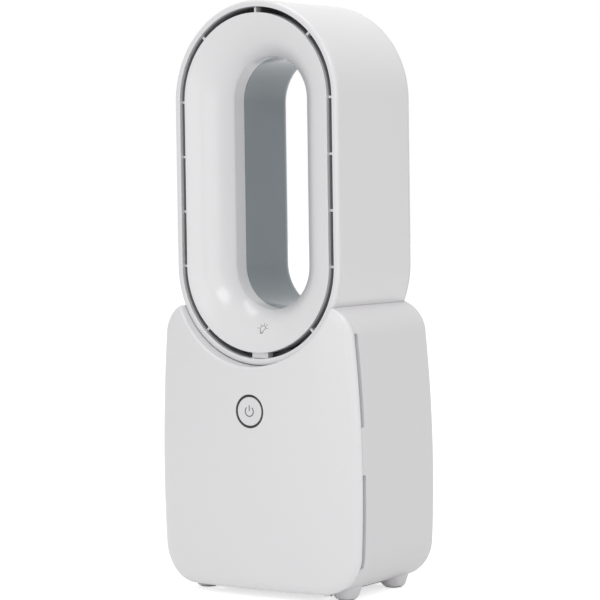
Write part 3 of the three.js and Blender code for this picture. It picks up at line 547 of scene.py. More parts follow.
def outward(bm: Shape) -> Shape:
    """Turns all faces outwards."""
    bmesh.ops.recalc_face_normals(bm, faces=bm.faces)
    return bm


def tilted(bm: Shape, degrees: float) -> Shape:
    """Turns a shape about the origin in the front view, anticlockwise."""
    bmesh.ops.rotate(bm, cent=(0, 0, 0), matrix=Matrix.Rotation(-math.radians(degrees), 3, "Y"),
                     verts=bm.verts)
    return bm


def soften(bm: Shape, edges: Iterable[Edge], size: float, segments: int,
           clamp: bool = True) -> None:
    """Rounds edges.

    Args:
        bm: The shape.
        edges: What to round.
        size: The round's size.
        segments: Its segments.
        clamp: Stops rounds that would overlap.
    """
    bmesh.ops.bevel(bm, geom=list(edges), offset=size, offset_type="OFFSET", segments=segments,
                    profile=0.5, affect="EDGES", material=-1, clamp_overlap=clamp)


def edges_at(bm: Shape, axis: int, place: float) -> list[Edge]:
    """Finds the edges that lie across an axis at one place along it."""
    return [e for e in bm.edges if all(abs(v.co[axis] - place) < IN_PLANE for v in e.verts)]


def pushed(bm: Shape, depth: float) -> Shape:
    """Pushes a flat face backwards into a solid of this depth."""
    run = bmesh.ops.extrude_face_region(bm, geom=list(bm.faces))["geom"]
    bmesh.ops.translate(bm, vec=(0.0, depth, 0.0), verts=only(run, Vert))
    return outward(bm)


def oblong(inner: float, outer: float, front: float, back: float) -> list[Corner]:
    """Returns a plain rectangular section."""
    return [Corner(inner, front), Corner(outer, front), Corner(outer, back), Corner(inner, back)]


def section(bm: Shape, corners: Sequence[Corner], place: Callable[[Corner], Vector],
            steps: int = 6) -> list[Edge]:
    """Draws a closed section and rounds its corners.

    Args:
        bm: Where to draw it.
        corners: The corners in order.
        place: Where a corner lies in space.
        steps: Segments of each round.

    Returns:
        The section's edges.
    """
    before = set(bm.edges)
    verts = [bm.verts.new(place(corner)) for corner in corners]
    origin = place(Corner(0.0, 0.0))
    normal = (place(Corner(1.0, 0.0)) - origin).cross(place(Corner(0.0, 1.0)) - origin)
    for corner, a, b in zip(corners, verts, verts[1:] + verts[:1]):
        if corner.bend is None:
            bm.edges.new((a, b))
            continue
        made = bmesh.ops.spin(bm, geom=[a], cent=place(Corner(corner.bend.r, corner.bend.y)), axis=normal,
                              angle=math.radians(corner.bend.degrees), steps=corner.bend.steps,
                              use_duplicate=False)
        bmesh.ops.weld_verts(bm, targetmap={only(made["geom_last"], Vert)[0]: b})
    for vert, corner in zip(verts, corners):
        if corner.round > 0.0:
            many = steps * 3 if corner.round > WIDE_ROUND else steps
            bmesh.ops.bevel(bm, geom=[vert], offset=corner.round, offset_type="OFFSET", segments=many,
                            profile=0.5, affect="VERTICES", material=-1, clamp_overlap=False)
    bmesh.ops.remove_doubles(bm, verts=bm.verts, dist=0.01)
    return [edge for edge in bm.edges if edge not in before]


def tidy(bm: Shape) -> Shape:
    """Merges doubles and turns all faces outwards."""
    bmesh.ops.remove_doubles(bm, verts=bm.verts, dist=MERGE)
    return outward(bm)


def around_loop(corners: Sequence[Corner], steps: int = 6) -> Shape:
    """Carries a section round the stadium loop.

    Args:
        corners: The section; r is the distance from the loop's centre line.
        steps: Segments of each round.

    Returns:
        A closed ring.
    """
    bm = bmesh.new()
    edges = section(bm, corners, lambda c: Vector((c.r, c.y, LOOP.upper_z)), steps)
    ends: list = [*{v for e in edges for v in e.verts}, *edges]
    drop = LOOP.upper_z - LOOP.lower_z
    for centre_z, shift in ((LOOP.upper_z, -drop), (LOOP.lower_z, drop)):
        turn = bmesh.ops.spin(bm, geom=ends, cent=(0.0, 0.0, centre_z), axis=(0.0, -1.0, 0.0),
                              angle=math.pi, steps=TURN_STEPS, use_duplicate=False)
        last = only(turn["geom_last"], Edge)
        run = bmesh.ops.extrude_edge_only(bm, edges=last)["geom"]
        verts = only(run, Vert)
        bmesh.ops.translate(bm, vec=(0.0, 0.0, shift), verts=verts)
        ends = [*verts, *only(run, Edge)]
    return tidy(bm)


def turned(corners: Sequence[Corner], centre: Vector, axis: str = "y", steps: int = 6,
           turn_steps: int = TURN_STEPS) -> Shape:
    """Turns a section about an axis.

    Args:
        corners: The section; r is the distance from the axis and y the place along it.
        centre: A point on the axis; its coordinate along the axis is added to y.
        axis: "y" for things on the front, "z" for things that stand.
        steps: Segments of each round.
        turn_steps: Segments of the full turn.

    Returns:
        A closed solid.
    """
    bm = bmesh.new()
    along = Vector((0.0, 1.0, 0.0)) if axis == "y" else Vector((0.0, 0.0, 1.0))
    edges = section(bm, corners, lambda c: centre + Vector((c.r, 0.0, 0.0)) + along * c.y, steps)
    geom = [*{v for e in edges for v in e.verts}, *edges]
    bmesh.ops.spin(bm, geom=geom, cent=centre, axis=along, angle=math.tau, steps=turn_steps, use_merge=True)
    tidy(bm)
    flat = [f for f in bm.faces if f.calc_area() < SLIVER]
    bmesh.ops.delete(bm, geom=flat, context="FACES_ONLY")
    return bm


def block(low: Sequence[float], high: Sequence[float], edge: float = 0.0, along: Optional[str] = None,
          segments: int = 6) -> Shape:
    """A box with rounded edges.

    Args:
        low: Its lowest corner.
        high: Its highest corner.
        edge: The round on its edges.
        along: Rounds only the edges that run along this axis.
        segments: Segments of the round.

    Returns:
        The box.
    """
    bm = bmesh.new()
    bmesh.ops.create_cube(bm, size=1.0)
    size = [b - a for a, b in zip(low, high)]
    middle = [(a + b) / 2.0 for a, b in zip(low, high)]
    bmesh.ops.scale(bm, vec=size, verts=bm.verts)
    bmesh.ops.translate(bm, vec=middle, verts=bm.verts)
    if edge > 0.0:
        chosen = list(bm.edges)
        if along is not None:
            axis = "xyz".index(along)
            chosen = [e for e in chosen
                      if abs((e.verts[0].co - e.verts[1].co).normalized()[axis]) > 0.99]
        soften(bm, chosen, edge, segments)
    return bm


def arc_band(radius: float, width: float, start: float, degrees: float) -> Shape:
    """A printed band along an arc in the front view, about the origin.

    Args:
        radius: Of its middle line.
        width: Across the band.
        start: Where it starts, in degrees anticlockwise from the right.
        degrees: How far it turns.

    Returns:
        A closed solid.
    """
    bm = bmesh.new()
    corners = [bm.verts.new((radius + side * width / 2.0, y, 0.0))
               for side, y in ((-1.0, 0.0), (1.0, 0.0), (1.0, PRINT_DEPTH), (-1.0, PRINT_DEPTH))]
    face = bm.faces.new(corners)
    tilted(bm, start)
    bmesh.ops.spin(bm, geom=[face], cent=(0, 0, 0), axis=(0.0, -1.0, 0.0), angle=math.radians(degrees),
                   steps=PRINT_STEPS, use_duplicate=False)
    return outward(bm)


def joined(shapes: Iterable[Shape]) -> Shape:
    """Puts several shapes in one bmesh and frees them."""
    result = bmesh.new()
    for shape in shapes:
        mesh = bpy.data.meshes.new("carry")
        shape.to_mesh(mesh)
        shape.free()
        result.from_mesh(mesh)
        bpy.data.meshes.remove(mesh)
    return result


def carved(bm: Shape, *tools: Shape) -> Shape:
    """Cuts shapes out of a shape.

    Args:
        bm: The shape, which is freed.
        tools: The cutting shapes, which are freed.

    Returns:
        The result.
    """
    work = linked("stand_in", bm)
    helpers = [linked("stand_in", tool) for tool in tools]
    for helper in helpers:
        cut = work.modifiers.new("cut", "BOOLEAN")
        cut.operation = "DIFFERENCE"
        cut.solver = "EXACT"
        cut.object = helper
    bpy.context.view_layer.update()
    mesh = bpy.data.meshes.new_from_object(work.evaluated_get(bpy.context.evaluated_depsgraph_get()))
    result = bmesh.new()
    result.from_mesh(mesh)
    for thing in [work, *helpers]:
        data = thing.data
        bpy.data.objects.remove(thing)
        bpy.data.meshes.remove(data)
    bpy.data.meshes.remove(mesh)
    return result


# ------------------------------------------------------------------ loop
@dataclass
class Head:
    """The loop: outer shell with its rim, white dish, grey inner wall and rear cover."""

    sizes: LoopSizes = LOOP
    rim_round: float = 2.4
    lip_round: float = 0.5
    lip_wall: float = 1.8
    rib_thickness: float = 1.7
    rib_depth: float = 6.0
    rib_front: float = 1.2
    ribs_per_side: int = 4
    tab_width: float = 13.0
    lining_wall: float = 0.12
    spigot_wall: float = 1.6
    spigot_length: float = 5.0
    parting_y: float = 1.4
    sign_at: float = 41.9
    sign_line: float = 0.42
    bulb_radius: float = 2.1
    ray_length: float = 1.25

    def shell(self) -> Shape:
        """Returns the outer shell, with a fine parting line behind its rounded rim."""
        s = self.sizes
        inner = s.radius - s.wall
        back = s.depth - s.cover - s.gap
        return around_loop([
            Corner(s.radius, back, 0.3),
            Corner(s.radius, self.parting_y + 0.16, 0.06),
            Corner(s.radius - 0.25, self.parting_y, 0.0),
            Corner(s.radius, self.parting_y - 0.16, 0.06),
            Corner(s.radius, -s.rim_proud, self.rim_round),
            Corner(s.slot_outer, -s.rim_proud, 0.5),
            Corner(s.slot_outer, s.slot_depth, 0.3),
            Corner(inner, s.slot_depth + 3.0, 0.3),
            Corner(inner, back, 0.3),
        ])

    def dish(self) -> Shape:
        """Returns the dish: a lip at the slot, a wide curve, a tight round and a straight throat."""
        s = self.sizes
        edge = s.slot_inner - self.lip_wall
        centre, meets = s.dish_centre, s.dish_meets
        turn = meets - s.dish_lip_angle
        back_start = math.degrees(math.asin((centre[0] - edge) / (s.dish_radius - s.dish_wall)))
        throat = (s.throat + s.throat_round, s.throat_y)
        return around_loop([
            Corner(s.slot_inner, -s.rim_proud, self.lip_round, Bend(*centre, -turn, 28)),
            Corner(*s.on_dish(meets), 0.0, Bend(*throat, meets - 90.0, 8)),
            Corner(s.throat, s.throat_y),
            Corner(s.throat, s.dish_depth, 0.2),
            Corner(s.throat + s.dish_wall, s.dish_depth, 0.2),
            Corner(s.throat + s.dish_wall, s.throat_y, 0.0, Bend(*throat, 90.0 - meets, 4)),
            Corner(*s.on_dish(meets, s.dish_wall), 0.0, Bend(*centre, meets - back_start, 16)),
            Corner(*s.on_dish(back_start, s.dish_wall)),
            Corner(edge, s.slot_depth, 0.4),
            Corner(s.slot_inner, s.slot_depth, 0.4),
        ])

    def rib(self, angle: float, centre_z: float, shift: float, width: float) -> Shape:
        """A rib across the slot.

        Args:
            angle: Its direction from the centre, 0 to the right and 90 up.
            centre_z: Height of the centre it points from.
            shift: A further move up.
            width: Its thickness along the slot.

        Returns:
            The rib.
        """
        s = self.sizes
        bm = block((s.slot_inner - 1.0, self.rib_front, -width / 2.0),
                   (s.slot_outer - s.gap, self.rib_front + self.rib_depth, width / 2.0), 0.25, segments=3)
        bmesh.ops.translate(tilted(bm, angle), vec=(0.0, 0.0, centre_z + shift), verts=bm.verts)
        return bm

    def ribs(self) -> list[Shape]:
        """Returns the thin ribs round the slot and the wide tab at the bottom."""
        s = self.sizes
        made = [self.rib(a, s.upper_z if a > 0 else s.lower_z, 0.0, self.rib_thickness)
                for a in (45.0, 90.0, 135.0, -45.0, -135.0)]
        step = (s.upper_z - s.lower_z) / (self.ribs_per_side - 1)
        for i in range(self.ribs_per_side):
            for angle in (0.0, 180.0):
                made.append(self.rib(angle, s.lower_z, i * step, self.rib_thickness))
        made.append(self.rib(-90.0, s.lower_z, 0.0, self.tab_width))
        return made

    def slot_shade_lining(self) -> Shape:
        """Returns a thin grey sheet on both walls of the air slot, behind the white lips: painted shade
        that darkens the slot's white walls.
        """
        s, thin = self.sizes, self.lining_wall
        return joined([around_loop(oblong(r, r + thin, self.rib_front, s.slot_depth))
                       for r in (s.slot_inner + 0.02, s.slot_outer - thin - 0.02)])

    def liner(self) -> Shape:
        """Returns the grey wall inside the loop, whose rear lip rolls outwards."""
        s = self.sizes
        front = s.dish_depth + s.gap
        rear = s.throat + s.liner_draft
        start, end, inner = s.depth - s.rear_lip, rear + s.rear_lip, s.rear_lip - s.liner_wall
        centre = (end, start)
        return around_loop([
            Corner(s.throat, front, 0.25),
            Corner(rear, start, 0.0, Bend(*centre, -90.0, 18)),
            Corner(end, s.depth, 0.0),
            Corner(end, s.depth - s.liner_wall, 0.0, Bend(*centre, 90.0, 14)),
            Corner(end - inner, start, 0.0),
            Corner(s.throat + s.liner_wall, front, 0.25),
        ])

    def rear_cover(self) -> Shape:
        """Returns the ring that closes the loop at the back, with its spigot inside the shell."""
        s = self.sizes
        inner = s.throat + s.liner_draft + s.rear_lip + s.gap
        spigot = s.radius - s.wall - s.gap
        thin, front = spigot - self.spigot_wall, s.depth - s.cover
        start = front - self.spigot_length
        return around_loop([
            Corner(s.radius, front, 0.3),
            Corner(s.radius, s.depth, 0.9),
            Corner(inner, s.depth, 0.2),
            Corner(inner, front, 0.2),
            Corner(thin, front, 0.0),
            Corner(thin, start, 0.3),
            Corner(spigot, start, 0.3),
            Corner(spigot, front, 0.0),
        ], 5)

    def lamp_sign(self) -> Shape:
        """Returns a plain light bulb with rays, printed on the dish below the loop's middle.

        It is drawn flat, x across and z up, and then laid on the dish's curve.
        """
        s, width = self.sizes, self.sign_line
        half = width / 2.0
        bulb, neck = self.bulb_radius, self.bulb_radius * 0.5
        open_at = math.degrees(math.asin(neck / bulb))
        shapes = [arc_band(bulb, width, -90.0 + open_at, 360.0 - 2.0 * open_at)]
        for side in (-1.0, 1.0):
            shapes.append(block((side * neck - half, 0.0, -bulb - 1.1),
                                (side * neck + half, PRINT_DEPTH, -bulb + 0.35)))
        for drop, reach in ((1.1, neck), (1.75, neck * 0.7)):
            shapes.append(block((-reach, 0.0, -bulb - drop - half),
                                (reach, PRINT_DEPTH, -bulb - drop + half)))
        for angle in (0.0, 45.0, 90.0, 135.0, 180.0):
            ray = block((bulb + 0.9, 0.0, -half), (bulb + 0.9 + self.ray_length, PRINT_DEPTH, half))
            shapes.append(tilted(ray, angle))
        bm = joined(shapes)
        bmesh.ops.subdivide_edges(bm, edges=[e for e in bm.edges if e.calc_length() > 0.8], cuts=3)
        centre = s.dish_centre
        start = math.degrees(math.asin((centre[0] - self.sign_at) / s.dish_radius))
        for v in bm.verts:
            up = math.degrees(v.co.z / s.dish_radius)
            r, y = s.on_dish(start + up, v.co.y - 0.05)
            turn = v.co.x / self.sign_at
            v.co = (r * math.sin(turn), y, s.lower_z - r * math.cos(turn))
        return outward(bm)

    def build(self, shop: Workshop) -> None:
        """Makes the loop's pieces.

        Args:
            shop: The workshop that keeps them.
        """
        shop.piece("head_shell_piece", self.shell(), Slot.WHITE_GLOSS, stands_for=["head_shell"])
        shop.piece("head_dish_piece", joined([self.dish(), *self.ribs()]), Slot.WHITE_GLOSS,
                   stands_for=["head_funnel"])
        # A thin grey sheet inside the air slot: painted shade on the slot's white walls.
        shop.piece("slot_shade_lining_piece", self.slot_shade_lining(), Slot.INNER_GREY)
        shop.piece("loop_liner_piece", self.liner(), Slot.GREY_DIFFUSER, stands_for=["loop_liner"])
        shop.piece("head_rear_cover_piece", self.rear_cover(), Slot.WHITE_GLOSS,
                   stands_for=["head_rear_cover"])
        shop.piece("lamp_sign_piece", self.lamp_sign(), Slot.BLACK_PLASTIC, finish=MARK_GREY)


# ------------------------------------------------------------------ body
def mirrored(bm: Shape) -> Shape:
    """Mirrors a right half to the left and merges the middle."""
    bmesh.ops.mirror(bm, geom=[*bm.verts, *bm.edges, *bm.faces], axis="X", merge_dist=0.001)
    bmesh.ops.remove_doubles(bm, verts=bm.verts, dist=0.002)
    return bm


def arc(bm: Shape, start: Vert, centre: tuple[float, float], degrees: float,
        steps: int) -> Vert:
    """Turns a vertex in the front view and leaves an arc of edges behind.

    Args:
        bm: Where to draw it.
        start: The arc's first vertex.
        centre: Its centre, x and z.
        degrees: How far it turns, anticlockwise from the front.
        steps: Its segments.

    Returns:
        The arc's last vertex.
    """
    made = bmesh.ops.spin(bm, geom=[start], cent=(centre[0], start.co.y, centre[1]), axis=(0.0, -1.0, 0.0),
                          angle=math.radians(degrees), steps=steps, use_duplicate=False)
    return only(made["geom_last"], Vert)[0]


def line(bm: Shape, start: Vert, x: float, z: float, steps: int) -> Vert:
    """Draws a straight run in the front view.

    Args:
        bm: Where to draw it.
        start: Its first vertex.
        x: Its end.
        z: Its end.
        steps: Its segments.

    Returns:
        The last vertex.
    """
    here, first = start, start.co.copy()
    for i in range(1, steps + 1):
        point = first.lerp(Vector((x, first.y, z)), i / steps)
        there = bm.verts.new(point)
        bm.edges.new((here, there))
        here = there
    return here


@dataclass
class Body:
    """The boxy body: front panel, housing, rear grille, base plate and feet."""

    sizes: BodySizes = BODY
    loop: LoopSizes = LOOP
    corner_steps: int = 16
    side_steps: int = 18
    notch_steps: int = 44
    edge_steps: int = 8
    crown_strips: int = 56
    horn_round: float = 1.4
    hollow_back: float = 40.0
    hollow_clearance: float = 6.5
    saddle_span: tuple[float, float] = (-20.0, 60.0)
    vent_cut: tuple[float, float] = (62.0, 90.0)
    vent_round: float = 0.9
    grille_half: tuple[float, float] = (46.0, 46.0)
    grille_plate: float = 2.4
    grille_flange: float = 2.5
    grille_z: float = 88.0
    grille_rows: int = 13
    grille_pitch: float = 6.4
    grille_slot: tuple[float, float] = (36.0, 3.0)
    jack_z: float = 22.0
    jack_radius: float = 5.6
    button_hole: float = 11.25
    foot_at: tuple[float, float] = (57.1, 29.5)
    foot_centre_y: float = 45.6
    foot_radii: tuple[float, float, float, float] = (12.0, 10.0, 8.2, 6.7)
    foot_root: float = 7.0
    foot_end_z: float = 0.75
    pad_radius: float = 5.6
    pad_top: float = 0.95
    pad_groove: tuple[float, float, float, float] = (2.6, 2.9, 3.4, 3.7)
    groove_depth: float = 0.25

    # -- outlines
    def horn(self, inset: float, notch_inset: float,
             rounding: float) -> tuple[tuple[float, float], float, float]:
        """Finds the small round that joins the notch to the top corner.

        Args:
            inset: How far the outline is drawn in.
            notch_inset: How far it is drawn in beside the loop.
            rounding: The round's radius.

        Returns:
            The round's centre, then the angles in degrees where it leaves the top corner's arc and
            the notch.
        """
        s = self.sizes
        cx = s.half_width(s.high_z) - s.corner_top
        corner = s.corner_top - inset - rounding
        reach = self.loop.radius + s.notch_gap + notch_inset + rounding
        low, high = 0.0, 90.0
        for _ in range(50):
            a = math.radians((low + high) / 2.0)
            x, z = cx + corner * math.cos(a), s.high_z + corner * math.sin(a)
            if math.hypot(x, z - self.loop.lower_z) > reach:
                low = math.degrees(a)
            else:
                high = math.degrees(a)
        return (x, z), low, math.degrees(math.atan2(z - self.loop.lower_z, x))

    def half_outline(self, bm: Shape, start: Vert, corner_angle: float,
                     inset: float = 0.0, steps: int = 16) -> None:
        """Draws the right half of the body's outline from a point on its top corner to the bottom.

        Args:
            bm: Where to draw it.
            start: The vertex to go on from.
            corner_angle: Its angle on the top corner's arc, in degrees.
            inset: How far the outline is drawn in.
            steps: Segments of the top corner's arc.
        """
        s = self.sizes
        top = s.half_width(s.high_z) - s.corner_top
        bottom = s.half_width(s.low_z) - s.corner_bottom
        v = arc(bm, start, (top, s.high_z), -corner_angle, steps)
        old = len(bm.verts)
        v = line(bm, v, bottom + s.corner_bottom - inset, s.low_z, self.side_steps)
        bm.verts.ensure_lookup_table()
        for vert in bm.verts[old:-1]:
            vert.co.x = s.half_width(vert.co.z) - inset
        v = arc(bm, v, (bottom, s.low_z), -90.0, self.corner_steps)
        line(bm, v, 0.0, s.bottom_z + inset, 16)

    def outline(self, y: float, inset: float = 0.0) -> Shape:
        """Returns the whole body outline as one face at depth y, drawn in by inset."""
        s = self.sizes
        bm = bmesh.new()
        start = bm.verts.new((0.0, y, s.top_z - inset))
        start = line(bm, start, s.half_width(s.high_z) - s.corner_top, s.top_z - inset, 12)
        self.half_outline(bm, start, 90.0, inset)
        mirrored(bm)
        bmesh.ops.contextual_create(bm, geom=list(bm.edges))
        return bm

    def prism(self, front: float, back: float, inset: float) -> Shape:
        """Returns the outline as a solid block from front to back, drawn in by inset."""
        return pushed(self.outline(front, inset), back - front)

    def rounded_back(self, front: float, back: float, inset: float, segments: int) -> Shape:
        """Returns the outline as a solid block whose rear edge is rounded, drawn in by inset."""
        bm = self.prism(front, back, inset)
        rear = max(bm.faces, key=lambda f: f.calc_center_median().y)
        soften(bm, rear.edges, self.sizes.rear_edge - inset, segments, False)
        return outward(bm)

    # -- front panel
    def panel_outline(self, inset: float, notch_inset: float, rounding: float) -> Shape:
        """Draws the front panel's outline with its notch, flat at y = 0.

        Args:
            inset: How far the outline is drawn in.
            notch_inset: How far it is drawn in beside the loop.
            rounding: Radius of the small rounds beside the notch.

        Returns:
            A closed line of edges.
        """
        s, loop = self.sizes, self.loop
        centre, corner_angle, notch_angle = self.horn(inset, notch_inset, rounding)
        bm = bmesh.new()
        first = bm.verts.new((0.0, 0.0, loop.lower_z - loop.radius - s.notch_gap - notch_inset))
        end = arc(bm, first, (0.0, loop.lower_z), notch_angle + 90.0, self.notch_steps)
        end = arc(bm, end, centre, corner_angle - notch_angle - 180.0, 8)
        self.half_outline(bm, end, corner_angle, inset, 12)
        return mirrored(bm)

    def panel_skin(self) -> Shape:
        """Returns the crowned front with its round notch, as a solid.

        It starts as the flat face inside the rounded edge. Each step of the round is an extrusion
        towards the full outline, the last one is the wall, and then the whole is crowned.
        """
        s = self.sizes
        rear = s.seam_y - s.gap
        wide = self.panel_outline(0.0, 0.0, self.horn_round)
        full = [v.co.copy() for v in wide.verts]
        wide.free()
        bm = self.panel_outline(s.face_edge, s.notch_edge, 0.6)
        flat = [v.co.copy() for v in bm.verts]
        place = {v: i for i, v in enumerate(bm.verts)}
        rim = list(bm.edges)
        bmesh.ops.contextual_create(bm, geom=rim)
        for step in range(1, self.edge_steps + 2):
            made = bmesh.ops.extrude_edge_only(bm, edges=rim)["geom"]
            rim = only(made, Edge)
            angle = math.pi / 2.0 * min(step / self.edge_steps, 1.0)
            moved = {v: next(place[m] for m in (e.other_vert(v) for e in v.link_edges) if m in place)
                     for v in only(made, Vert)}
            for v, i in moved.items():
                x, _, z = flat[i].lerp(full[i], math.sin(angle))
                wall = rear - s.face_y(full[i].x)
                deep = min(s.notch_edge, wall - 0.2)
                v.co = (x, deep * (1.0 - math.cos(angle)) if step <= self.edge_steps else wall, z)
            place = moved
        bmesh.ops.contextual_create(bm, geom=rim)
        return self.crowned(outward(bm))

    def crowned(self, bm: Shape) -> Shape:
        """Slices a shape drawn flat at y = 0 into upright strips and bends it to the front's crown."""
        half = self.sizes.half_bottom + self.sizes.bulge
        for i in range(1, self.crown_strips):
            x = -half + 2.0 * half * i / self.crown_strips
            bmesh.ops.bisect_plane(bm, geom=[*bm.verts, *bm.edges, *bm.faces], dist=0.0001,
                                   plane_co=(x, 0.0, 0.0), plane_no=(1.0, 0.0, 0.0))
        for v in bm.verts:
            v.co.y += self.sizes.face_y(v.co.x)
        return bm

    def panel(self) -> Shape:
        """Returns the front panel with its wall and the button's hole."""
        s = self.sizes
        hollow = carved(self.crowned(self.prism(s.wall, self.hollow_back, s.wall)),
                        self.saddle(s.gap + self.hollow_clearance, *self.saddle_span))
        hole = turned([Corner(0.0, s.crown_y - 4.0), Corner(self.button_hole + 4.0, s.crown_y - 4.0),
                       Corner(self.button_hole, s.crown_y + 0.25, 0.12),
                       Corner(self.button_hole, s.crown_y + 6.0), Corner(0.0, s.crown_y + 6.0)],
                      Vector((0.0, 0.0, s.button_z)), steps=3, turn_steps=96)
        return carved(self.panel_skin(), hollow, hole)

    def lip(self) -> Shape:
        """Returns the locating lip that shows through the side vents; its inner grey, darker than the
        panel's white, is painted shade in the vents.
        """
        s = self.sizes
        inset = s.wall + s.gap
        back = s.seam_y - s.gap + s.lip_depth
        front = -1.0
        inner = self.prism(front - OVERCUT, back + OVERCUT, inset + s.lip_wall)
        return carved(self.prism(front, back, inset), inner, self.saddle(s.wall + s.gap, *self.saddle_span))

    # -- housing
    def saddle(self, clearance: float, front: float, back: float) -> Shape:
        """Returns a stadium block that stands for the loop and some clearance."""
        s = self.loop
        r = s.radius + clearance
        bm = bmesh.new()
        right = bm.verts.new((r, front, s.upper_z))
        left = arc(bm, right, (0.0, s.upper_z), 180.0, 72)
        low = line(bm, left, -r, s.lower_z, 1)
        end = arc(bm, low, (0.0, s.lower_z), 180.0, 72)
        bm.edges.new((end, right))
        bmesh.ops.contextual_create(bm, geom=list(bm.edges))
        return pushed(bm, back - front)

    def housing(self) -> Shape:
        """Returns the housing behind the front panel, with its vents and openings."""
        s = self.sizes
        ahead, inside, behind = s.seam_y - OVERCUT, s.rear_y - 2.0 * OVERCUT, s.rear_y + OVERCUT
        tools = [self.rounded_back(ahead, s.rear_y - s.wall, s.wall, 6),
                 self.saddle(s.gap, ahead, self.loop.depth + s.gap)]
        for side in (-1.0, 1.0):
            for low, high in s.vents:
                left, right = sorted(side * x for x in self.vent_cut)
                tools.append(block((left, ahead, low), (right, s.seam_y + s.vent_width, high),
                                   self.vent_round, "x", 4))
        gx, gz = self.grille_half
        tools.append(block((-gx, inside, self.grille_z - gz), (gx, behind, self.grille_z + gz),
                           12.0, "y", 12))
        tools.append(turned(oblong(0.0, self.jack_radius + s.gap, inside, behind),
                            Vector((0.0, 0.0, self.jack_z)), turn_steps=48))
        return carved(self.rounded_back(s.seam_y, s.rear_y, 0.0, 9), *tools)

    def grille(self) -> Shape:
        """Returns the rear grille with its rows of slots and their rounded edges."""
        s = self.sizes
        gx, gz = (half - s.gap for half in self.grille_half)
        y1, middle, wide, thick = s.rear_y, self.grille_z, self.grille_flange, self.grille_plate
        plate = block((-gx, y1 - thick, middle - gz), (gx, y1, middle + gz), 11.7, "y", 12)
        soften(plate, edges_at(plate, 1, y1), 0.5, 3)
        hx, hz = (size / 2.0 for size in self.grille_slot)
        slots = []
        for row in range(self.grille_rows):
            z = middle + (row - (self.grille_rows - 1) / 2.0) * self.grille_pitch
            for side in (-1.0, 1.0):
                x = side * (hx + wide)
                slots.append(block((x - hx, y1 - OVERCUT, z - hz), (x + hx, y1 + OVERCUT, z + hz),
                                   1.45, "y", 6))
        flange = block((-gx - wide, y1 - 4.5, middle - gz - wide),
                       (gx + wide, y1 - 2.8, middle + gz + wide), 14.0, "y", 12)
        hole = block((-gx + 3.0, y1 - 9.0, middle - gz + 3.0),
                     (gx - 3.0, y1 - thick, middle + gz - 3.0), 9.0, "y", 12)
        return joined([carved(plate, joined(slots)), carved(flange, hole)])

    # -- underside
    def plate_block(self, grown: float = 0.0) -> Shape:
        """Returns the base plate's block with its round corners, grown by a clearance."""
        low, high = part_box("base_plate")
        back = -self.loop.slot_plane
        return block((low.x / MM - grown, low.y / MM + back - grown, low.z / MM - grown),
                     (high.x / MM + grown, high.y / MM + back + grown, high.z / MM + grown), 12.0, "z", 10)

    def base_plate(self) -> Shape:
        """Returns the thin plate under the housing, with a soft lower edge."""
        bm = self.plate_block()
        soften(bm, edges_at(bm, 2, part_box("base_plate")[0].z / MM), 0.7, 4)
        return bm

    def foot(self, x: float, y: float) -> Shape:
        """Returns a short foot that narrows downwards from the body's curved underside."""
        s = self.sizes
        root, flare, calf, toe = self.foot_radii
        top, end = s.bottom_z + self.foot_root, self.foot_end_z
        bm = turned([Corner(0.0, top), Corner(root, top), Corner(flare, s.bottom_z + 1.8, 2.4),
                     Corner(calf, 2.0, 1.6), Corner(toe, end, 0.35), Corner(0.0, end)],
                    Vector((x, y, 0.0)), "z", 6, 64)
        return carved(bm, self.prism(-OVERCUT, s.rear_y + OVERCUT, -0.04), self.plate_block(0.05))

    def foot_pad(self, x: float, y: float) -> Shape:
        """Returns the soft pad under a foot, with a rounded edge and a shallow groove."""
        deep, wide, top = self.groove_depth, self.pad_radius, self.pad_top
        groove = [Corner(r, z, 0.1) for r, z in zip(self.pad_groove, (0.0, deep, deep, 0.0))]
        return turned([Corner(0.0, 0.0), *groove, Corner(wide, 0.0, 0.35), Corner(wide, top, 0.15),
                       Corner(0.0, top)], Vector((x, y, 0.0)), "z", 3, 48)

    def build(self, shop: Workshop) -> None:
        """Makes the body's pieces.

        Args:
            shop: The workshop that keeps them.
        """
        shop.piece("front_panel_piece", self.panel(), Slot.WHITE_GLOSS, stands_for=["front_panel"],
                   sharp=40.0)
        # The lip takes inner grey instead of the panel's white: painted shade inside the side vents.
        shop.piece("panel_lip_painted_shade_piece", self.lip(), Slot.INNER_GREY)
        shop.piece("body_housing_piece", self.housing(), Slot.WHITE_SATIN, stands_for=["body_housing"])
        shop.piece("rear_grille_piece", self.grille(), Slot.WHITE_SATIN, stands_for=["rear_grille"])
        shop.piece("base_plate_piece", self.base_plate(), Slot.INNER_GREY, stands_for=["base_plate"])
        for name, sx, sy in (("front_left", -1, -1), ("front_right", 1, -1), ("rear_left", -1, 1),
                             ("rear_right", 1, 1)):
            x, y = sx * self.foot_at[0], self.foot_centre_y + sy * self.foot_at[1]
            shop.piece(f"foot_{name}_piece", self.foot(x, y), Slot.WHITE_SATIN, stands_for=[f"foot_{name}"])
            shop.piece(f"foot_pad_{name}_piece", self.foot_pad(x, y), Slot.BLACK_RUBBER,
                       stands_for=[f"foot_pad_{name}"])


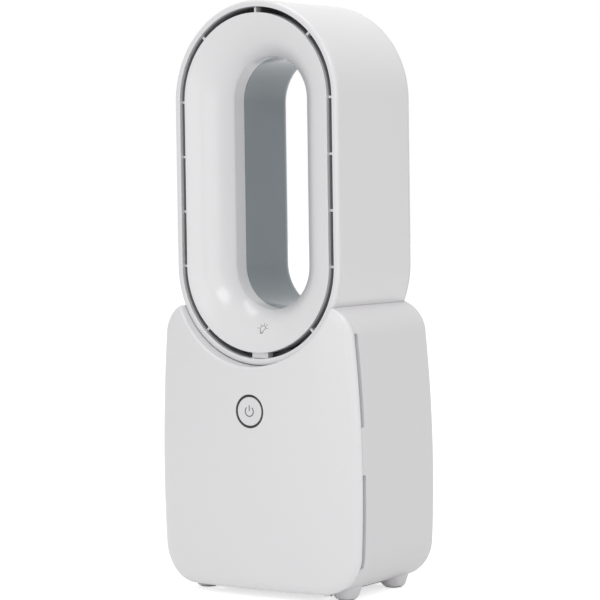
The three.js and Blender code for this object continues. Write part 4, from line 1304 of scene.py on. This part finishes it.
# ------------------------------------------------------------------ button and marks
@dataclass
class Button:
    """The push button: white cap, thin dark ring and a plain standby sign."""

    sizes: BodySizes = BODY
    cap_radius: float = 9.7
    cap_depth: float = 3.4
    stem_radius: float = 2.6
    flange_depth: float = 1.2
    ring_inner: float = 9.95
    ring_outer: float = 10.95
    sign_radius: float = 3.3
    sign_line: float = 0.75
    sign_gap: float = 78.0

    def cap(self) -> Shape:
        """Returns the cap with its slightly dished face and the stem inside."""
        face = self.sizes.crown_y + 0.06
        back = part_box("button_cap")[1].y / MM - LOOP.slot_plane
        wide, stem, skirt = self.cap_radius, self.stem_radius, face + self.cap_depth
        return turned([Corner(0.0, face + 0.06), Corner(wide - 1.6, face, 0.8),
                       Corner(wide, face + 0.02, 0.55), Corner(wide, skirt, 0.2),
                       Corner(stem, skirt), Corner(stem, back, 0.2), Corner(0.0, back)],
                      Vector((0.0, 0.0, self.sizes.button_z)), steps=5, turn_steps=96)

    def ring(self) -> Shape:
        """Returns the dark ring round the cap, with its flange behind the panel."""
        front = self.sizes.crown_y + 0.25
        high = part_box("button_bezel")[1]
        back, flange = high.y / MM - LOOP.slot_plane, high.x / MM
        step = back - self.flange_depth
        return turned([Corner(self.ring_inner, front, 0.18), Corner(self.ring_outer, front, 0.18),
                       Corner(self.ring_outer, step), Corner(flange, step, 0.2),
                       Corner(flange, back, 0.2), Corner(self.ring_inner, back)],
                      Vector((0.0, 0.0, self.sizes.button_z)), steps=4, turn_steps=96)

    def sign(self) -> Shape:
        """Returns a plain standby sign: an open ring with a bar in its gap."""
        half = self.sign_line / 2.0
        ring = arc_band(self.sign_radius, self.sign_line, 90.0 + self.sign_gap / 2.0, 360.0 - self.sign_gap)
        bar = block((-half, 0.0, 0.3), (half, PRINT_DEPTH, self.sign_radius + 0.9), 0.03, segments=1)
        bm = joined([ring, bar])
        bmesh.ops.translate(bm, vec=(0.0, self.sizes.crown_y + 0.05, self.sizes.button_z), verts=bm.verts)
        return bm

    def build(self, shop: Workshop) -> None:
        """Makes the button's pieces.

        Args:
            shop: The workshop that keeps them.
        """
        shop.piece("button_cap_piece", self.cap(), Slot.BUTTON_WHITE, "button", ["button_cap"])
        shop.piece("button_sign_piece", self.sign(), Slot.BLACK_PLASTIC, "button", finish=MARK_GREY)
        shop.piece("button_bezel_piece", self.ring(), Slot.BLACK_PLASTIC, stands_for=["button_bezel"])


# ------------------------------------------------------------------ carried-over nodes
@dataclass
class Insides:
    """The model's own pieces that keep their shape and get a finish."""

    record: dict

    def dress(self, shop: Workshop) -> None:
        """Gives every node that still shows the finish of its slot.

        Args:
            shop: The workshop that builds the materials.
        """
        slots = {slot.value: slot for slot in Slot}
        for entry in self.record["subparts"]:
            slot = slots[entry["material_slot"]]
            obj = frame["nodes"][entry["node"]]
            obj.data.materials.clear()
            obj.data.materials.append(shop.material(FINISHES[slot]))
            if not obj.hide_render:
                LOG.info("%s keeps its shape, finish %s", entry["node"], slot.value)


# ------------------------------------------------------------------ studio
@dataclass(frozen=True)
class Lamp:
    """A soft square lamp that looks at the fan."""

    name: str
    place: Colour
    size: float
    watts: float
    aim: Colour = (0.0, 0.0, 0.2)

    def build(self) -> None:
        """Adds the lamp to the scene."""
        data = bpy.data.lights.new(self.name, "AREA")
        data.shape = "SQUARE"
        data.size = self.size
        data.energy = self.watts
        obj = bpy.data.objects.new(self.name, data)
        direction = Vector(self.aim) - Vector(self.place)
        turn = direction.to_track_quat("-Z", "Y").to_matrix().to_4x4()
        obj.matrix_world = Matrix.Translation(Vector(self.place)) @ turn
        bpy.context.scene.collection.objects.link(obj)


@dataclass
class Studio:
    """Floor, backdrop, soft lamps and the camera at the photograph's viewing angle."""

    azimuth: float = 34.349
    elevation: float = 2.729
    roll: float = -0.8165
    focal_px: float = 2392.54
    distance: float = 1601.1
    offset: tuple[float, float] = (-29.149, 78.143)
    image: float = 600.0
    ambient: float = 0.56
    floor_shade: float = 0.66
    lamps: tuple[Lamp, ...] = (
        Lamp("front_softbox", (0.0, -2.0, 0.5), 1.0, 3.4),
        Lamp("camera_low_softbox", (1.1, -1.7, 0.4), 1.0, 3.1),
        Lamp("camera_high_softbox", (1.0, -1.6, 1.5), 0.75, 6.9),
        Lamp("right_softbox", (2.0, -0.2, 0.5), 1.0, 1.7),
        Lamp("overhead_softbox", (0.0, 0.0, 2.0), 1.0, 9.7),
    )

    def camera(self) -> None:
        """Adds the camera, whose view is fitted to the photograph."""
        a, e, r = (math.radians(v) for v in (self.azimuth, self.elevation, self.roll))
        ahead = Vector((-math.sin(a) * math.cos(e), math.cos(a) * math.cos(e), -math.sin(e)))
        right = Vector((math.cos(a), math.sin(a), 0.0))
        up = right.cross(ahead)
        right, up = right * math.cos(r) + up * math.sin(r), up * math.cos(r) - right * math.sin(r)
        centre = Vector((0.0, LOOP.slot_plane, (LOOP.lower_z + LOOP.upper_z) / 2.0))
        place = centre - right * self.offset[0] - up * self.offset[1] - ahead * self.distance
        data = bpy.data.cameras.new("photo_camera")
        data.sensor_width = 36.0
        data.sensor_fit = "HORIZONTAL"
        data.lens = self.focal_px / self.image * data.sensor_width
        data.clip_end = 50.0
        obj = bpy.data.objects.new("photo_camera", data)
        axes = Matrix((right, up, -ahead)).transposed().to_4x4()
        obj.matrix_world = Matrix.Translation(place * MM) @ axes
        bpy.context.scene.collection.objects.link(obj)
        bpy.context.scene.camera = obj

    @staticmethod
    def seen_directly(tree: Tree) -> Socket:
        """Returns 1 for what the camera, a gloss or glass sees, and 0 for light on surfaces."""
        path = tree.node("ShaderNodeLightPath")
        total = path.outputs["Is Camera Ray"]
        for other in ("Is Glossy Ray", "Is Transmission Ray"):
            most = tree.node("ShaderNodeMath")
            most.operation = "MAXIMUM"
            tree.links.new(total, most.inputs[0])
            tree.links.new(path.outputs[other], most.inputs[1])
            total = most.outputs[0]
        return total

    def world(self) -> None:
        """Sets a plain ambient light that looks white where it is seen."""
        world = bpy.data.worlds.new("studio_air")
        bpy.context.scene.world = world
        tree = Tree(world)
        mix = tree.node("ShaderNodeMixShader")
        out = tree.node("ShaderNodeOutputWorld")
        tree.links.new(self.seen_directly(tree), mix.inputs["Fac"])
        for index, strength in ((1, self.ambient), (2, 1.0)):
            light = tree.node("ShaderNodeBackground", Strength=strength, Color=(1.0, 1.0, 1.0, 1.0))
            tree.links.new(light.outputs[0], mix.inputs[index])
        tree.links.new(mix.outputs[0], out.inputs["Surface"])

    def floor(self) -> None:
        """Adds a pale floor that is white where it is lit and keeps a soft shadow."""
        bm = bmesh.new()
        bmesh.ops.create_grid(bm, x_segments=2, y_segments=2, size=8.0)
        obj = linked("studio_floor", bm)
        material = bpy.data.materials.new("studio_paper")
        tree = Tree(material)
        paper = tree.node("ShaderNodeBsdfDiffuse", Color=(0.82, 0.82, 0.82, 1.0))
        glow = tree.node("ShaderNodeEmission")
        strength = tree.node("ShaderNodeMath")
        strength.operation = "MULTIPLY"
        strength.inputs[1].default_value = self.floor_shade
        tree.links.new(self.seen_directly(tree), strength.inputs[0])
        tree.links.new(strength.outputs[0], glow.inputs["Strength"])
        add = tree.node("ShaderNodeAddShader")
        out = tree.node("ShaderNodeOutputMaterial")
        for index, node in enumerate((paper, glow)):
            tree.links.new(node.outputs[0], add.inputs[index])
        tree.links.new(add.outputs[0], out.inputs["Surface"])
        obj.data.materials.append(material)

    def build(self) -> None:
        """Sets up the whole studio."""
        bpy.context.scene.view_settings.view_transform = "Standard"
        self.camera()
        self.world()
        self.floor()
        for lamp in self.lamps:
            lamp.build()


def main() -> None:
    """Builds the fan and its studio."""
    logging.basicConfig(level=logging.INFO, format="%(name)s: %(message)s")
    shop = Workshop()
    Studio().build()
    Head().build(shop)
    Body().build(shop)
    Button().build(shop)
    Insides(frame["record"]).dress(shop)
    LOG.info("%d pieces made", len(shop.pieces))


if __name__ == "__main__":
    main()
